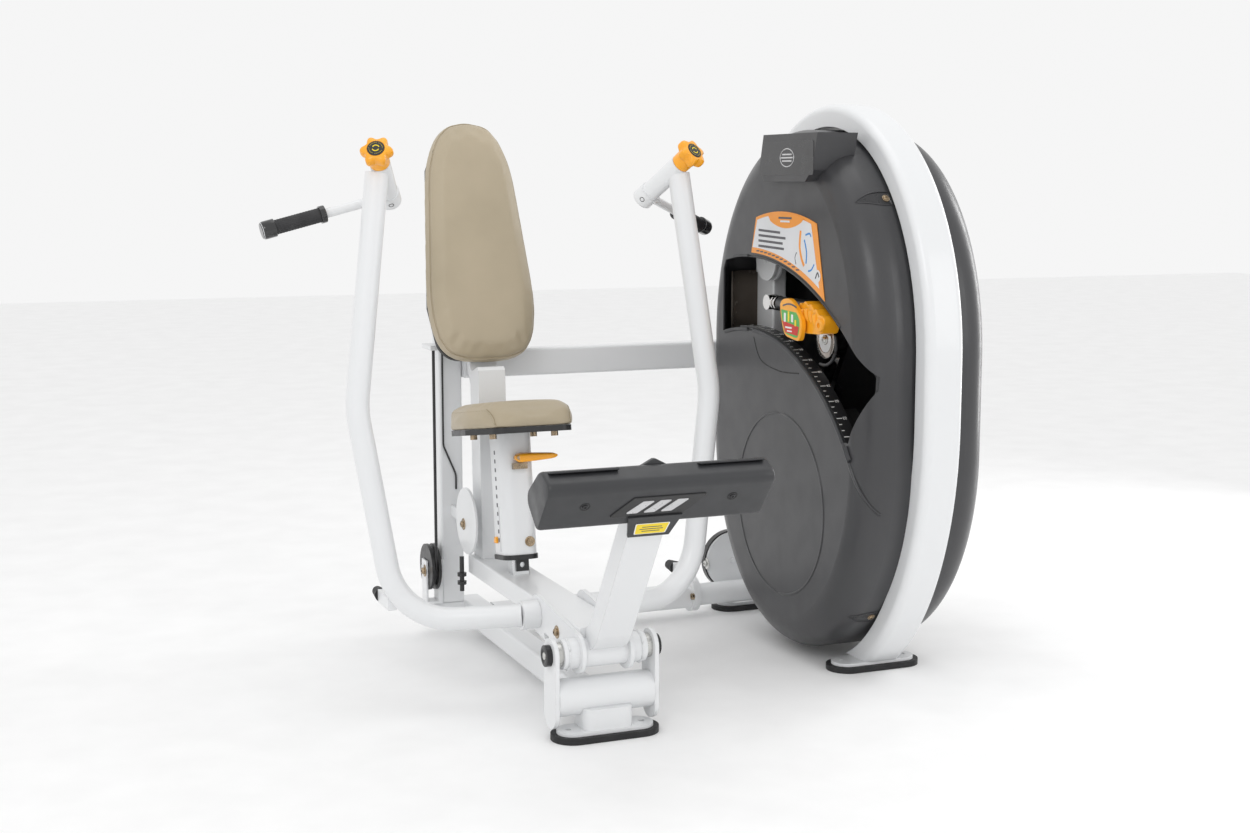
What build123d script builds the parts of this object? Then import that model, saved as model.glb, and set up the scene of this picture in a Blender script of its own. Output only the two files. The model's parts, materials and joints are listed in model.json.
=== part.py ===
from build123d import *
import math
import os

# Shoulder press machine with a rocking seat and a lever weight tower.
# Millimetres, +Z up.  The front of the machine faces -Y and the weight tower stands on the +X side.
# The origin is on the floor under the centre of the front foot; X = 0 is the seat's middle plane.

# ---------------------------------------------------------------- driving dimensions
RUN_GAP = 0.3            # gap between pieces that slide past each other
SHAFT_GAP = 0.05         # radial running fit of a shaft

FOOT_LEN = 226.0         # floor feet, all three alike
FOOT_WIDTH = 76.0
FOOT_RIM = 13.0          # rubber that shows round each steel plate
RUBBER_THICK = 14.0
PLATE_THICK = 8.0
ANCHOR_HOLE_R = 7.0
ANCHOR_PITCH = 174.0
FRONT_FOOT_Y = 42.0

PIVOT_Y = 62.0           # rocker pivot at the front of the base
PIVOT_Z = 188.0
PIVOT_SHAFT_R = 16.0
HUB_R = 34.0
HUB_HALF = 98.0
EAR_IN = 113.0           # inner faces of the two ears
EAR_THICK = 10.0
EAR_R = 38.0

SPINE_W = 60.0
BASE_Z0 = 30.0           # underside of the base tubes
BASE_Z1 = 90.0
REAR_Y = 935.0           # rear cross tube
COLUMN_X = -62.0         # rear column, beside the end of the spine
COLUMN_Y = 1030.0
COLUMN_SIZE = 64.0
COLUMN_TOP = 820.0
SPINE_END_Y = 1062.0
PULLEY_X = COLUMN_X - COLUMN_SIZE / 2 - 26      # cable wheel beside the rear column
PULLEY_Y = COLUMN_Y - 18
PULLEY_Z = 190.0
CABLE_Y = PULLEY_Y - 54.4
DISC_X = 762.0           # lower cable wheel behind the tower
DISC_Z = 142.0
BEAM_Z = 738.0
BEAM_H = 74.0
BEAM_Y0 = 965.0
BEAM_Y1 = 1020.0

ARM_AXIS_Y = 315.0       # shaft that the press arms turn on
ARM_AXIS_Z = 217.0
ARM_SHAFT_R = 15.0
ARM_TUBE_R = 27.0
ARM_COLLAR_IN = 62.3
ARM_COLLAR_OUT = 104.0
ARM_CORNER = (372.0, 408.0, 206.0)
ARM_ELBOW = (446.0, 458.0, 700.0)
ARM_TOP = (378.0, 500.0, 1238.0)

SWIVEL_FRONT = (386.0, 460.0, 1279.0)    # front end of the handle hub on the +X arm
SWIVEL_DIR = (-0.342, 0.746, -0.566)
SWIVEL_HUB_START = 32.0                  # the hub begins here, behind the knob
SWIVEL_HUB_LEN = 150.0
SWIVEL_HUB_R = 24.0
SWIVEL_PIN_R = 10.0
COLLAR_LEN = 34.0
KNOB_LEN = 56.0
KNOB_SKIRT = 30.0        # length and radius of the knob's round skirt
KNOB_SKIRT_R = 24.0
GRIP_R = 17.0
GRIP_LEN = 118.0

TUBE_HALF = 52.0         # half width of the rocker's main tube
TUBE_THICK = 50.0
TUBE_Z1 = 243.0          # its top face
SIDE_PLATE_THICK = 10.0
BACK_COL_Y = 852.0
BACK_COL_SIZE = 72.0
NECK_HALF = 40.0         # half width of the turned up front tube
NECK_TOP = (-188.5, 591.0)               # Y and Z of its top end, inner and outer face
NECK_TOP_OUT = (-230.5, 563.7)
NECK_HEEL_Y = 13.0       # where its outer face meets the underside of the main tube
NECK_BEND_R = 50.0
FOOT_BAR_HALF = 248.0
FOOT_BAR_TOP = (-236.0, 656.0)           # Y and Z corners of the foot bar's section
FOOT_BAR_FRONT = (-299.0, 625.0)
FOOT_BAR_LOW = (-216.0, 524.0)
FOOT_BAR_REAR = (-143.0, 588.0)

SEAT_LEAN = 8.5          # degrees, the seat post leans back
POST_BASE_Y = 628.0
POST_W = 44.0
POST_LEN = 300.0
CARRIAGE_W = 86.0
CARRIAGE_D = 92.0
CARRIAGE_S0 = 48.0       # along the post
CARRIAGE_S1 = 352.0
RACK_PITCH = 30.0
SEAT_BACK = 120.0        # rear edge of the seat pad behind the post
LEVER_PIN_X = -8.0       # pin of the release lever, and its place along the post
LEVER_PIN_S = 290.0
LEVER_PIN_R = 5.0

PAD_LEAN = 16.5          # degrees, the back pad leans back
PAD_BOTTOM_Y = 832.0
PAD_BOTTOM_Z = 767.0
PAD_LEN = 640.0
PAD_THICK = 58.0
BOARD_THICK = 16.0

TOWER_X = 840.0
TOWER_Y = 505.0
HOOP_W = 100.0
HOOP_T = 56.0
HOOP_HALF = 505.0        # half width of the hoop
HOOP_TOP_MID = 800.0     # centre height of the upper half ellipse
HOOP_TOP_RISE = 612.0
HOOP_LOW_MID = 650.0     # centre height of the lower half ellipse
HOOP_LOW_DROP = 720.0
SHELL_HALF = 442.0
SHELL_DEPTH = 124.0      # from the hoop's side to the flat face
SHELL_ROUND = 78.0
SHELL_WALL = 5.0
SHELL_TOP_RISE = 548.0
SHELL_LOW_DROP = 540.0
SHELL_LOW_MID = 560.0
DIAL_Y = 680.0           # centre that the selector and the weight lever turn about
DIAL_Z = 180.0
DIAL_R = 656.0
SELECTOR_Y = 321.0       # boss of the selector at rest, on the dial
SELECTOR_Z = 833.0
SELECTOR_BOSS_R = 46.0
PADDLE_PIN_Y = 352.0     # pin that the selector's thumb paddle turns on
PADDLE_PIN_Z = 885.0
PADDLE_PIN_R = 4.0
WHEEL_IN_Y = 752.0       # cable wheel on the inner column
WHEEL_IN_Z = 1012.0
WHEEL_IN_R = 58.0
WHEEL_IN_X = TOWER_X - 92
TOWER_FOOT_FRONT_Y = 300.0
TOWER_FOOT_REAR_Y = 980.0

OVER = 10.0              # how far a cutting tool runs past a face


# ---------------------------------------------------------------- helpers
def block(x0, x1, y0, y1, z0, z1):
    """Box between two corners."""
    size = Box(x1 - x0, y1 - y0, z1 - z0)
    return Pos((x0 + x1) / 2, (y0 + y1) / 2, (z0 + z1) / 2) * size


def rod_x(x0, x1, y, z, radius):
    """Round bar along X."""
    return Pos((x0 + x1) / 2, y, z) * Rot(0, 90, 0) * Cylinder(radius, x1 - x0)


def rod_y(y0, y1, x, z, radius):
    """Round bar along Y."""
    return Pos(x, (y0 + y1) / 2, z) * Rot(90, 0, 0) * Cylinder(radius, y1 - y0)


def rod_z(z0, z1, x, y, radius):
    """Upright round bar."""
    return Pos(x, y, (z0 + z1) / 2) * Cylinder(radius, z1 - z0)


def rod(start, end, radius):
    """Round bar between two points."""
    axis = Vector(*end) - Vector(*start)
    plane = Plane(origin=start, z_dir=axis)
    return plane * Cylinder(radius, axis.length, align=(Align.CENTER, Align.CENTER, Align.MIN))


def standing(radius, z0, z1):
    """Round disc on the Z axis."""
    return rod_z(z0, z1, 0, 0, radius)


def along(start, direction, distance):
    """Point at a distance from start."""
    return tuple(s + d * distance for s, d in zip(start, direction))


def mirror_x(shape):
    """The same piece on the other side of the seat's middle plane."""
    return mirror(shape, about=Plane.YZ)


def rounded_path(points, radii):
    """Straight runs joined by tangent arcs."""
    points = [Vector(*p) for p in points]
    edges = []
    start = points[0]
    for i, radius in enumerate(radii, 1):
        into = (points[i - 1] - points[i]).normalized()
        out = (points[i + 1] - points[i]).normalized()
        half = math.radians(into.get_angle(out)) / 2
        reach = radius / math.tan(half)
        middle = (into + out).normalized()
        first = points[i] + into * reach
        last = points[i] + out * reach
        top = points[i] + middle * (radius / math.sin(half) - radius)
        edges.append(Line(start, first))
        edges.append(ThreePointArc(first, top, last))
        start = last
    edges.append(Line(start, points[-1]))
    return Wire(edges)


def round_tube(points, radii, radius):
    """Round bar swept along straight runs and tangent arcs."""
    path = rounded_path(points, radii)
    plane = Plane(origin=path @ 0, z_dir=path % 0)
    return sweep(plane * Circle(radius), path=path)


def round_edges(shape, axis, radius):
    """Round the edges that run along an axis."""
    return fillet(shape.edges().filter_by(axis), radius)


def near(sketch, across, up):
    """Corner of an outline at a place in its own plane."""
    return sketch.vertices().sort_by_distance((across, up, 0))[0]


def stadium_plate(x_mid, y_mid, z0, z1, length, width):
    """Flat plate with round ends, long side along X."""
    outline = SlotOverall(length, width)
    return Pos(x_mid, y_mid, z0) * extrude(outline, z1 - z0)


def hex_bolts_x(places, x_face, outward, head_r=9.0, head=7.0):
    """Button heads on a face that looks along X."""
    heads = []
    for y, z in places:
        low = x_face if outward > 0 else x_face - head
        knob = rod_x(low, low + head, y, z, head_r)
        socket_low = x_face + head - 3 if outward > 0 else x_face - head - OVER
        socket = rod_x(socket_low, socket_low + 3 + OVER, y, z, head_r * 0.4)
        heads.append(knob - socket)
    return Compound(children=heads) if len(heads) > 1 else heads[0]


# ---------------------------------------------------------------- base frame
RUBBER_TOP = RUBBER_THICK
PLATE_TOP = RUBBER_THICK + PLATE_THICK


def rubber_foot(x_mid, y_mid):
    """Rubber tray under a foot plate."""
    length, width = FOOT_LEN + 2 * FOOT_RIM, FOOT_WIDTH + 2 * FOOT_RIM
    return stadium_plate(x_mid, y_mid, 0, RUBBER_TOP, length, width)


def foot_plate(x_mid, y_mid):
    """Steel foot plate with two floor anchor holes."""
    plate = stadium_plate(x_mid, y_mid, RUBBER_TOP, PLATE_TOP, FOOT_LEN, FOOT_WIDTH)
    for side in (-1, 1):
        x = x_mid + side * ANCHOR_PITCH / 2
        plate -= rod_z(0, PLATE_TOP + OVER, x, y_mid, ANCHOR_HOLE_R)
    return plate


def anchored_rubber(x_mid, y_mid):
    """Rubber tray with the anchor holes carried through it."""
    tray = rubber_foot(x_mid, y_mid)
    for side in (-1, 1):
        x = x_mid + side * ANCHOR_PITCH / 2
        tray -= rod_z(-OVER, RUBBER_TOP + OVER, x, y_mid, ANCHOR_HOLE_R)
    return tray


def ear(side):
    """Upright ear that carries one end of the rocker pivot."""
    x0 = side * EAR_IN if side > 0 else -EAR_IN - EAR_THICK
    x1 = x0 + EAR_THICK
    body = block(x0, x1, PIVOT_Y - EAR_R, PIVOT_Y + EAR_R, 60, PIVOT_Z)
    body += rod_x(x0, x1, PIVOT_Y, PIVOT_Z, EAR_R)
    body += rod_x(x0, x1, PIVOT_Y, 60, EAR_R)
    body -= rod_x(x0 - OVER, x1 + OVER, PIVOT_Y, PIVOT_Z, PIVOT_SHAFT_R)
    return body - block(x0 - OVER, x1 + OVER, -100, 200, -100, PLATE_TOP)


def front_stand():
    """Front foot plate, gusset, cross tube and the two ears, welded in one."""
    stand = foot_plate(0, FRONT_FOOT_Y)
    stand += rod_x(-EAR_IN, EAR_IN, PIVOT_Y, 90, 42)
    gusset = block(-58, 58, FRONT_FOOT_Y - 34, PIVOT_Y + 34, PLATE_TOP, 70)
    gusset = fillet(gusset.edges().filter_by(Axis.Z), 22)
    stand += gusset
    return stand + ear(-1) + ear(1)


def base_spine():
    """Rectangular tube from the front stand to the back, with a side stub under the rear column."""
    half = SPINE_W / 2
    tube = block(-half, half, PIVOT_Y, SPINE_END_Y, BASE_Z0, BASE_Z1)
    tube = round_edges(tube, Axis.Y, 8)
    stub = block(-150, 0, COLUMN_Y - half, COLUMN_Y + half, BASE_Z0 + 10, BASE_Z1)
    stub = round_edges(stub, Axis.X, 10)
    return tube + stub - front_stand()


def rear_cross_tube():
    """Cross tube from the spine toward the tower, with the bolting flange."""
    tube = block(SPINE_W / 2, 606, REAR_Y - 30, REAR_Y + 30, BASE_Z0, BASE_Z1)
    tube = round_edges(tube, Axis.X, 10)
    flange = rod_x(606, 616, REAR_Y, 66, 50)
    return tube + flange


def rear_column():
    """Upright tube on the stub of the spine, behind the seat."""
    half = COLUMN_SIZE / 2
    tube = block(COLUMN_X - half, COLUMN_X + half, COLUMN_Y - half, COLUMN_Y + half, BASE_Z1, COLUMN_TOP)
    tube = round_edges(tube, Axis.Z, 8)
    anchor = block(PULLEY_X - 10, COLUMN_X - half, CABLE_Y - 10, COLUMN_Y, 780, 792)
    return tube + anchor


def upper_beam():
    """Cross beam from the rear column to the back leg of the tower hoop."""
    x0 = COLUMN_X + COLUMN_SIZE / 2
    beam = block(x0, TOWER_X + 10, BEAM_Y0, BEAM_Y1, BEAM_Z - BEAM_H / 2, BEAM_Z + BEAM_H / 2)
    beam = round_edges(beam, Axis.X, 8)
    return beam - hoop_envelope()


def rear_bottom_tube():
    """Round tube that joins the base flange to the tower's back foot and leg."""
    tube = rod_x(626, TOWER_X + 30, REAR_Y, 60, 31)
    tube += block(TOWER_X - 30, TOWER_X + 30, TOWER_Y + 150, REAR_Y + 31, 30, 90)
    tube += block(DISC_X - 22, DISC_X + 22, 1002, 1010, PLATE_TOP, 190)
    tube += rod_x(616.2, 626, REAR_Y, 66, 50)
    return tube - hoop_envelope()


def flange_bolts():
    """Bolt heads on the front rim of the flange joint."""
    places = [(REAR_Y - 40.5, 66), (REAR_Y + 40.5, 66), (REAR_Y, 106)]
    return hex_bolts_x(places, 606, -1)


# ---------------------------------------------------------------- tower
def half_profile(half, z_mid_top, rise, z_mid_low, drop):
    """Closed outline in Y and Z: half an ellipse above, half an ellipse below, straight sides between."""
    top = EllipticalCenterArc((0, z_mid_top), half, rise, start_angle=0, arc_size=180)
    low = EllipticalCenterArc((0, z_mid_low), half, drop, start_angle=180, arc_size=180)
    left = Line((-half, z_mid_top), (-half, z_mid_low))
    right = Line((half, z_mid_low), (half, z_mid_top))
    face = make_face([top, left, low, right])
    return Plane(origin=(0, TOWER_Y, 0), x_dir=(0, 1, 0), z_dir=(1, 0, 0)) * face


def slab(half, z_mid_top, rise, z_mid_low, drop, x0, x1):
    """The outline above as a slab between two X planes."""
    face = half_profile(half, z_mid_top, rise, z_mid_low, drop)
    return Pos(x0, 0, 0) * extrude(face, x1 - x0)


def hoop_envelope():
    """Everything inside the hoop's outer line."""
    x0 = TOWER_X - HOOP_W / 2
    return slab(HOOP_HALF, HOOP_TOP_MID, HOOP_TOP_RISE, HOOP_LOW_MID, HOOP_LOW_DROP, x0, x0 + HOOP_W)


def hoop_solid():
    """Flat oval tube bent in one tall hoop, open at the floor."""
    x0 = TOWER_X - HOOP_W / 2
    ring = hoop_envelope()
    ring = fillet(ring.edges().group_by(Axis.X)[0] + ring.edges().group_by(Axis.X)[-1], 20)
    ring -= slab(HOOP_HALF - HOOP_T, HOOP_TOP_MID, HOOP_TOP_RISE - HOOP_T, HOOP_LOW_MID,
                 HOOP_LOW_DROP - HOOP_T, x0 - OVER, x0 + HOOP_W + OVER)
    return ring - block(x0 - OVER, x0 + HOOP_W + OVER, -500, 1500, -200, PLATE_TOP)


def tower_rubber_feet():
    """Rubber trays under the tower's two foot plates."""
    trays = [anchored_rubber(TOWER_X - 8, y) for y in (TOWER_FOOT_FRONT_Y, TOWER_FOOT_REAR_Y)]
    return Compound(children=trays)


def tower_foot(y_mid):
    """Foot plate of the tower."""
    return foot_plate(TOWER_X - 8, y_mid)


def shell(side):
    """Domed cover that fills one side of the hoop, hollow, open toward the middle."""
    x_rim = TOWER_X + side
    x_face = TOWER_X + side * (HOOP_W / 2 + SHELL_DEPTH)
    low, high = min(x_rim, x_face), max(x_rim, x_face)
    z_low = SHELL_LOW_MID
    dome = slab(SHELL_HALF, HOOP_TOP_MID, SHELL_TOP_RISE, z_low, SHELL_LOW_DROP, low, high)
    face_edges = dome.edges().group_by(Axis.X)[-1 if side > 0 else 0]
    dome = fillet(face_edges, SHELL_ROUND)
    wall = SHELL_WALL
    hollow = slab(SHELL_HALF - wall, HOOP_TOP_MID, SHELL_TOP_RISE - wall, z_low, SHELL_LOW_DROP - wall,
                  low - OVER if side > 0 else low + wall, high - wall if side > 0 else high + OVER)
    hollow_edges = hollow.edges().group_by(Axis.X)[-1 if side > 0 else 0]
    hollow = fillet(hollow_edges, SHELL_ROUND - wall)
    return dome - hollow - hoop_solid() - inner_column() - lever_axle_block()


FACE_X = TOWER_X - HOOP_W / 2 - SHELL_DEPTH     # flat face of the cover toward the seat


def selector_opening():
    """Opening in the near cover: above the dial edge, down to a nose at the front."""
    with BuildSketch(Plane.YZ.offset(FACE_X - OVER)) as sketch:
        with BuildLine():
            Polyline((842, 600), (842, 985), (800, 1060), (90, 1060), (74, 772), (76, 732),
                     (100, 690), (140, 624), (150, 600), close=True)
        make_face()
        with Locations((DIAL_Y, DIAL_Z)):
            Circle(DIAL_R + 186, mode=Mode.INTERSECT)
            Circle(DIAL_R, mode=Mode.SUBTRACT)
    return extrude(sketch.sketch, SHELL_DEPTH)


def near_shell():
    """Cover toward the seat with the selector opening."""
    return shell(-1) - selector_opening()


def header_box():
    """Raised box at the top of the near cover."""
    with BuildSketch(Plane.YZ.offset(FACE_X - 26)) as sketch:
        with BuildLine():
            Polyline((275, 1335), (560, 1335), (582, 1250), (556, 1218), (336, 1218), (302, 1246),
                     close=True)
        make_face()
    box = extrude(sketch.sketch, 26 + SHELL_DEPTH - 40)
    dome = slab(SHELL_HALF, HOOP_TOP_MID, SHELL_TOP_RISE, SHELL_LOW_MID, SHELL_LOW_DROP,
                FACE_X, TOWER_X - 1)
    dome = fillet(dome.edges().group_by(Axis.X)[0], SHELL_ROUND)
    return box - dome


def placard():
    """Instruction plate on the near cover: curved top, lower edge that follows the dial."""
    with BuildSketch(Plane.YZ.offset(FACE_X - 2)) as sketch:
        with Locations((DIAL_Y - 180, DIAL_Z + 330)):
            Circle(635)
        with Locations((DIAL_Y, DIAL_Z)):
            Circle(DIAL_R + 196, mode=Mode.SUBTRACT)
        with BuildLine():
            Polyline((270, 900), (690, 900), (662, 1200), (300, 1200), close=True)
        make_face(mode=Mode.INTERSECT)
    return extrude(sketch.sketch, 2)


def dial_sector(r0, r1, a0, a1, x0, x1):
    """Ring sector about the dial centre; angles in degrees from straight up toward the front."""
    with BuildSketch(Plane.YZ.offset(x0)) as sketch:
        with Locations((DIAL_Y, DIAL_Z)):
            Circle(r1)
            Circle(r0, mode=Mode.SUBTRACT)
        far = 2 * r1
        points = [(DIAL_Y, DIAL_Z)]
        for angle in (a0, (a0 + a1) / 2, a1):
            turn = math.radians(angle)
            points.append((DIAL_Y - far * math.sin(turn), DIAL_Z + far * math.cos(turn)))
        with BuildLine():
            Polyline(*points, close=True)
        make_face(mode=Mode.INTERSECT)
    return extrude(sketch.sketch, x1 - x0)


def dial_scale():
    """Curved rim along the lower edge of the opening, with the scale on its outer face."""
    return dial_sector(DIAL_R - 6, DIAL_R + 4, -6, 51, FACE_X + SHELL_WALL, FACE_X + 38)


def inner_column():
    """Upright inside the tower, seen through the opening."""
    tube = block(TOWER_X - 60, TOWER_X - 20, 768, 868, 100, 1260)
    return round_edges(tube, Axis.Z, 6) - hoop_solid()


def inner_pulley_bracket():
    """Bracket that holds the cable pulley inside the tower."""
    x_back = TOWER_X - 60
    plate = block(x_back - 6, x_back, WHEEL_IN_Y - 24, 860, WHEEL_IN_Z - 40, WHEEL_IN_Z + 40)
    return plate + rod_x(WHEEL_IN_X - 6, x_back - 6, WHEEL_IN_Y, WHEEL_IN_Z, 9)


def lever_axle():
    """Axle of the weight lever at the dial centre."""
    return rod_x(FACE_X + 12, TOWER_X + 120, DIAL_Y, DIAL_Z, 20)


def lever_axle_block():
    """Bearing block that carries the lever axle."""
    post = block(TOWER_X - 20, TOWER_X + 20, DIAL_Y - 40, DIAL_Y + 40, 20, DIAL_Z + 36)
    return post - hoop_solid() - rod_x(TOWER_X - 40, TOWER_X + 40, DIAL_Y, DIAL_Z, 20)


def weight_lever():
    """Lever with a cast weight at its end, turning about the dial centre."""
    hub = rod_x(TOWER_X - 90, TOWER_X - 22, DIAL_Y, DIAL_Z, 40)
    hub -= rod_x(TOWER_X - 100, TOWER_X, DIAL_Y, DIAL_Z, 20 + SHAFT_GAP)
    beam = dial_sector(36, 600, 22, 30, TOWER_X - 80, TOWER_X - 62)
    return hub + beam


def weight_block():
    """Cast weights bolted to the lever."""
    return dial_sector(380, 560, 33, 52, TOWER_X - 88, TOWER_X - 24)


def selector_arm():
    """Chromed link that carries the selector round the dial, with its boss, lug and slide rod."""
    x_link = TOWER_X - 108
    hub = rod_x(x_link - 4, TOWER_X - 91, DIAL_Y, DIAL_Z, 34)
    link = dial_sector(30, 760, 26.5, 31, x_link, TOWER_X - 94)
    boss = rod_x(x_link - 38, x_link, SELECTOR_Y, SELECTOR_Z, SELECTOR_BOSS_R)
    lug = block(x_link - 38, x_link, SELECTOR_Y + 9, SELECTOR_Y + 51, SELECTOR_Z + 20, SELECTOR_Z + 86)
    slide = rod_y(SELECTOR_Y + 40, SELECTOR_Y + 319, x_link - 24, SELECTOR_Z + 72, 13)
    knuckle = rod_x(x_link - 38, x_link - 10, SELECTOR_Y + 319, SELECTOR_Z + 72, 20)
    arm = hub + link + boss + lug + slide + knuckle
    return arm - rod_x(TOWER_X - 130, TOWER_X, DIAL_Y, DIAL_Z, 20 + SHAFT_GAP)


def side_plate_of(corners, radius, x0, x1):
    """Flat piece seen from the side, its corners rounded."""
    with BuildSketch(Plane.YZ.offset(x0)) as sketch:
        with BuildLine():
            Polyline(*corners, close=True)
        make_face()
        fillet(sketch.vertices(), radius)
    return extrude(sketch.sketch, x1 - x0)


def selector_carriage():
    """Yellow finger grip that the user slides round the dial."""
    corners = [(375, 922), (320, 928), (240, 888), (258, 850), (360, 844)]
    grip = side_plate_of(corners, 12, FACE_X - 18, TOWER_X - 108 - 38.3)
    return grip + rod_x(FACE_X - 38, FACE_X - 16, PADDLE_PIN_Y, PADDLE_PIN_Z, PADDLE_PIN_R)


def selector_paddle():
    """Thumb paddle that frees the selector from the dial."""
    corners = [(444, 920), (385, 932), (350, 910), (322, 868), (338, 828), (412, 838), (438, 880)]
    plate = side_plate_of(corners, 10, FACE_X - 36, FACE_X - 22)
    return plate - rod_x(FACE_X - 50, FACE_X, PADDLE_PIN_Y, PADDLE_PIN_Z, PADDLE_PIN_R + SHAFT_GAP)


def inner_pulley():
    """Cable wheel on the inner column, seen through the opening."""
    x0, x1 = WHEEL_IN_X, WHEEL_IN_X + 24
    wheel = rod_x(x0, x1, WHEEL_IN_Y, WHEEL_IN_Z, WHEEL_IN_R)
    groove = rod_x(x0 + 7, x1 - 7, WHEEL_IN_Y, WHEEL_IN_Z, WHEEL_IN_R + OVER)
    groove -= rod_x(x0 + 6, x1 - 6, WHEEL_IN_Y, WHEEL_IN_Z, WHEEL_IN_R - 8)
    return wheel - groove - rod_x(x0 - OVER, x1 + OVER, WHEEL_IN_Y, WHEEL_IN_Z, 9 + SHAFT_GAP)


def disc_cover():
    """Round white cover of the lower cable wheel behind the tower."""
    return rod_y(968, 974, DISC_X, DISC_Z, 82)


def disc_pulley():
    """Cable wheel behind the round cover."""
    return rod_y(974.3, 996, DISC_X, DISC_Z, 86) - rod_y(960, 1010, DISC_X, DISC_Z, 8 + SHAFT_GAP)


def disc_axle():
    """Axle bolt of the lower cable wheel."""
    return rod_y(961, 1002, DISC_X, DISC_Z, 8)


# ---------------------------------------------------------------- cable run by the rear column


def column_pulley():
    """Black grooved cable wheel beside the rear column."""
    wheel = rod_x(PULLEY_X - 13, PULLEY_X + 13, PULLEY_Y, PULLEY_Z, 62)
    ring = rod_x(PULLEY_X - 5, PULLEY_X + 5, PULLEY_Y, PULLEY_Z, 70)
    ring -= rod_x(PULLEY_X - 6, PULLEY_X + 6, PULLEY_Y, PULLEY_Z, 50)
    return wheel - ring - rod_x(PULLEY_X - 30, PULLEY_X + 30, PULLEY_Y, PULLEY_Z, 8 + SHAFT_GAP)


def pulley_yoke():
    """U bracket and axle that carry the cable wheel."""
    x_col = COLUMN_X - COLUMN_SIZE / 2
    yoke = block(PULLEY_X - 19, PULLEY_X - 14, PULLEY_Y - 22, PULLEY_Y + 22, 96, PULLEY_Z + 20)
    yoke += block(PULLEY_X + 14, x_col, PULLEY_Y - 22, PULLEY_Y + 22, 96, PULLEY_Z + 20)
    yoke += block(PULLEY_X - 19, x_col, PULLEY_Y - 22, PULLEY_Y + 22, BASE_Z1, 98)
    return yoke + rod_x(PULLEY_X - 24, x_col, PULLEY_Y, PULLEY_Z, 8)


def column_cable():
    """Steel cable from behind the back pad down to the column wheel."""
    return rod_z(PULLEY_Z, 780, PULLEY_X, CABLE_Y, 4)


def control_cable():
    """Thin cable down the front of the column, looped once and clipped to it."""
    y = COLUMN_Y - COLUMN_SIZE / 2 - 5
    route = [(-86, y, COLUMN_TOP - 20), (-86, y, 520), (-52, y, 440), (-52, y, 400)]
    return round_tube(route, [40, 40], 2.5)


def oval_cover():
    """White guard of the wheel between the rear column and the rocker."""
    return rod_x(-72, -66, 842, 342, 87)


def guard_bracket():
    """Short stay that holds the guard on the rear column."""
    return block(-66, -60, 842, COLUMN_Y - COLUMN_SIZE / 2, 327, 357)


def threaded_end():
    """Threaded cable end with its nuts, under the guard."""
    bar = rod_z(150, 242, -76, 870, 6)
    for z in (168, 190):
        bar += rod_z(z, z + 9, -76, 870, 12)
    return bar


# ---------------------------------------------------------------- rocker


def pivot_shaft():
    """Shaft through the two ears, with end caps."""
    reach = EAR_IN + EAR_THICK
    shaft = rod_x(-reach, reach, PIVOT_Y, PIVOT_Z, PIVOT_SHAFT_R)
    for x0 in (-reach - 12, reach):
        cap = rod_x(x0, x0 + 12, PIVOT_Y, PIVOT_Z, 24)
        shaft += cap
    return shaft


def pivot_spacers():
    """Washers between the hub and the ears."""
    rings = []
    for x0 in (-EAR_IN, HUB_HALF + RUN_GAP):
        ring = rod_x(x0, x0 + EAR_IN - HUB_HALF - RUN_GAP, PIVOT_Y, PIVOT_Z, 27)
        rings.append(ring - rod_x(x0 - OVER, x0 + 40, PIVOT_Y, PIVOT_Z, PIVOT_SHAFT_R))
    return Compound(children=rings)


def hub_bore():
    """Running bore of the rocker hub."""
    return rod_x(-HUB_HALF - OVER, HUB_HALF + OVER, PIVOT_Y, PIVOT_Z, PIVOT_SHAFT_R + SHAFT_GAP)


def rocker_hub():
    """Hub tube that the whole seat platform rocks on."""
    return rod_x(-HUB_HALF, HUB_HALF, PIVOT_Y, PIVOT_Z, HUB_R) - hub_bore()


def side_plate(side):
    """Plate from the rocker hub to the arm shaft."""
    x0 = TUBE_HALF if side > 0 else -TUBE_HALF - SIDE_PLATE_THICK
    x1 = x0 + SIDE_PLATE_THICK
    with BuildSketch(Plane.YZ.offset(x0)) as sketch:
        with Locations((PIVOT_Y, PIVOT_Z)):
            Circle(46)
        with Locations((ARM_AXIS_Y, ARM_AXIS_Z)):
            Circle(46)
        with BuildLine():
            Polyline((PIVOT_Y + 8, PIVOT_Z - 45), (ARM_AXIS_Y + 12, ARM_AXIS_Z - 44),
                     (ARM_AXIS_Y - 4, ARM_AXIS_Z + 45.8), (PIVOT_Y - 6, PIVOT_Z + 45.5), close=True)
        make_face()
        with Locations((PIVOT_Y, PIVOT_Z)):
            Circle(HUB_R, mode=Mode.SUBTRACT)
        with Locations((ARM_AXIS_Y, ARM_AXIS_Z)):
            Circle(ARM_SHAFT_R + SHAFT_GAP, mode=Mode.SUBTRACT)
        with Locations((250, 176)):
            SlotOverall(34, 14, rotation=8, mode=Mode.SUBTRACT)
    return extrude(sketch.sketch, x1 - x0)


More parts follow.
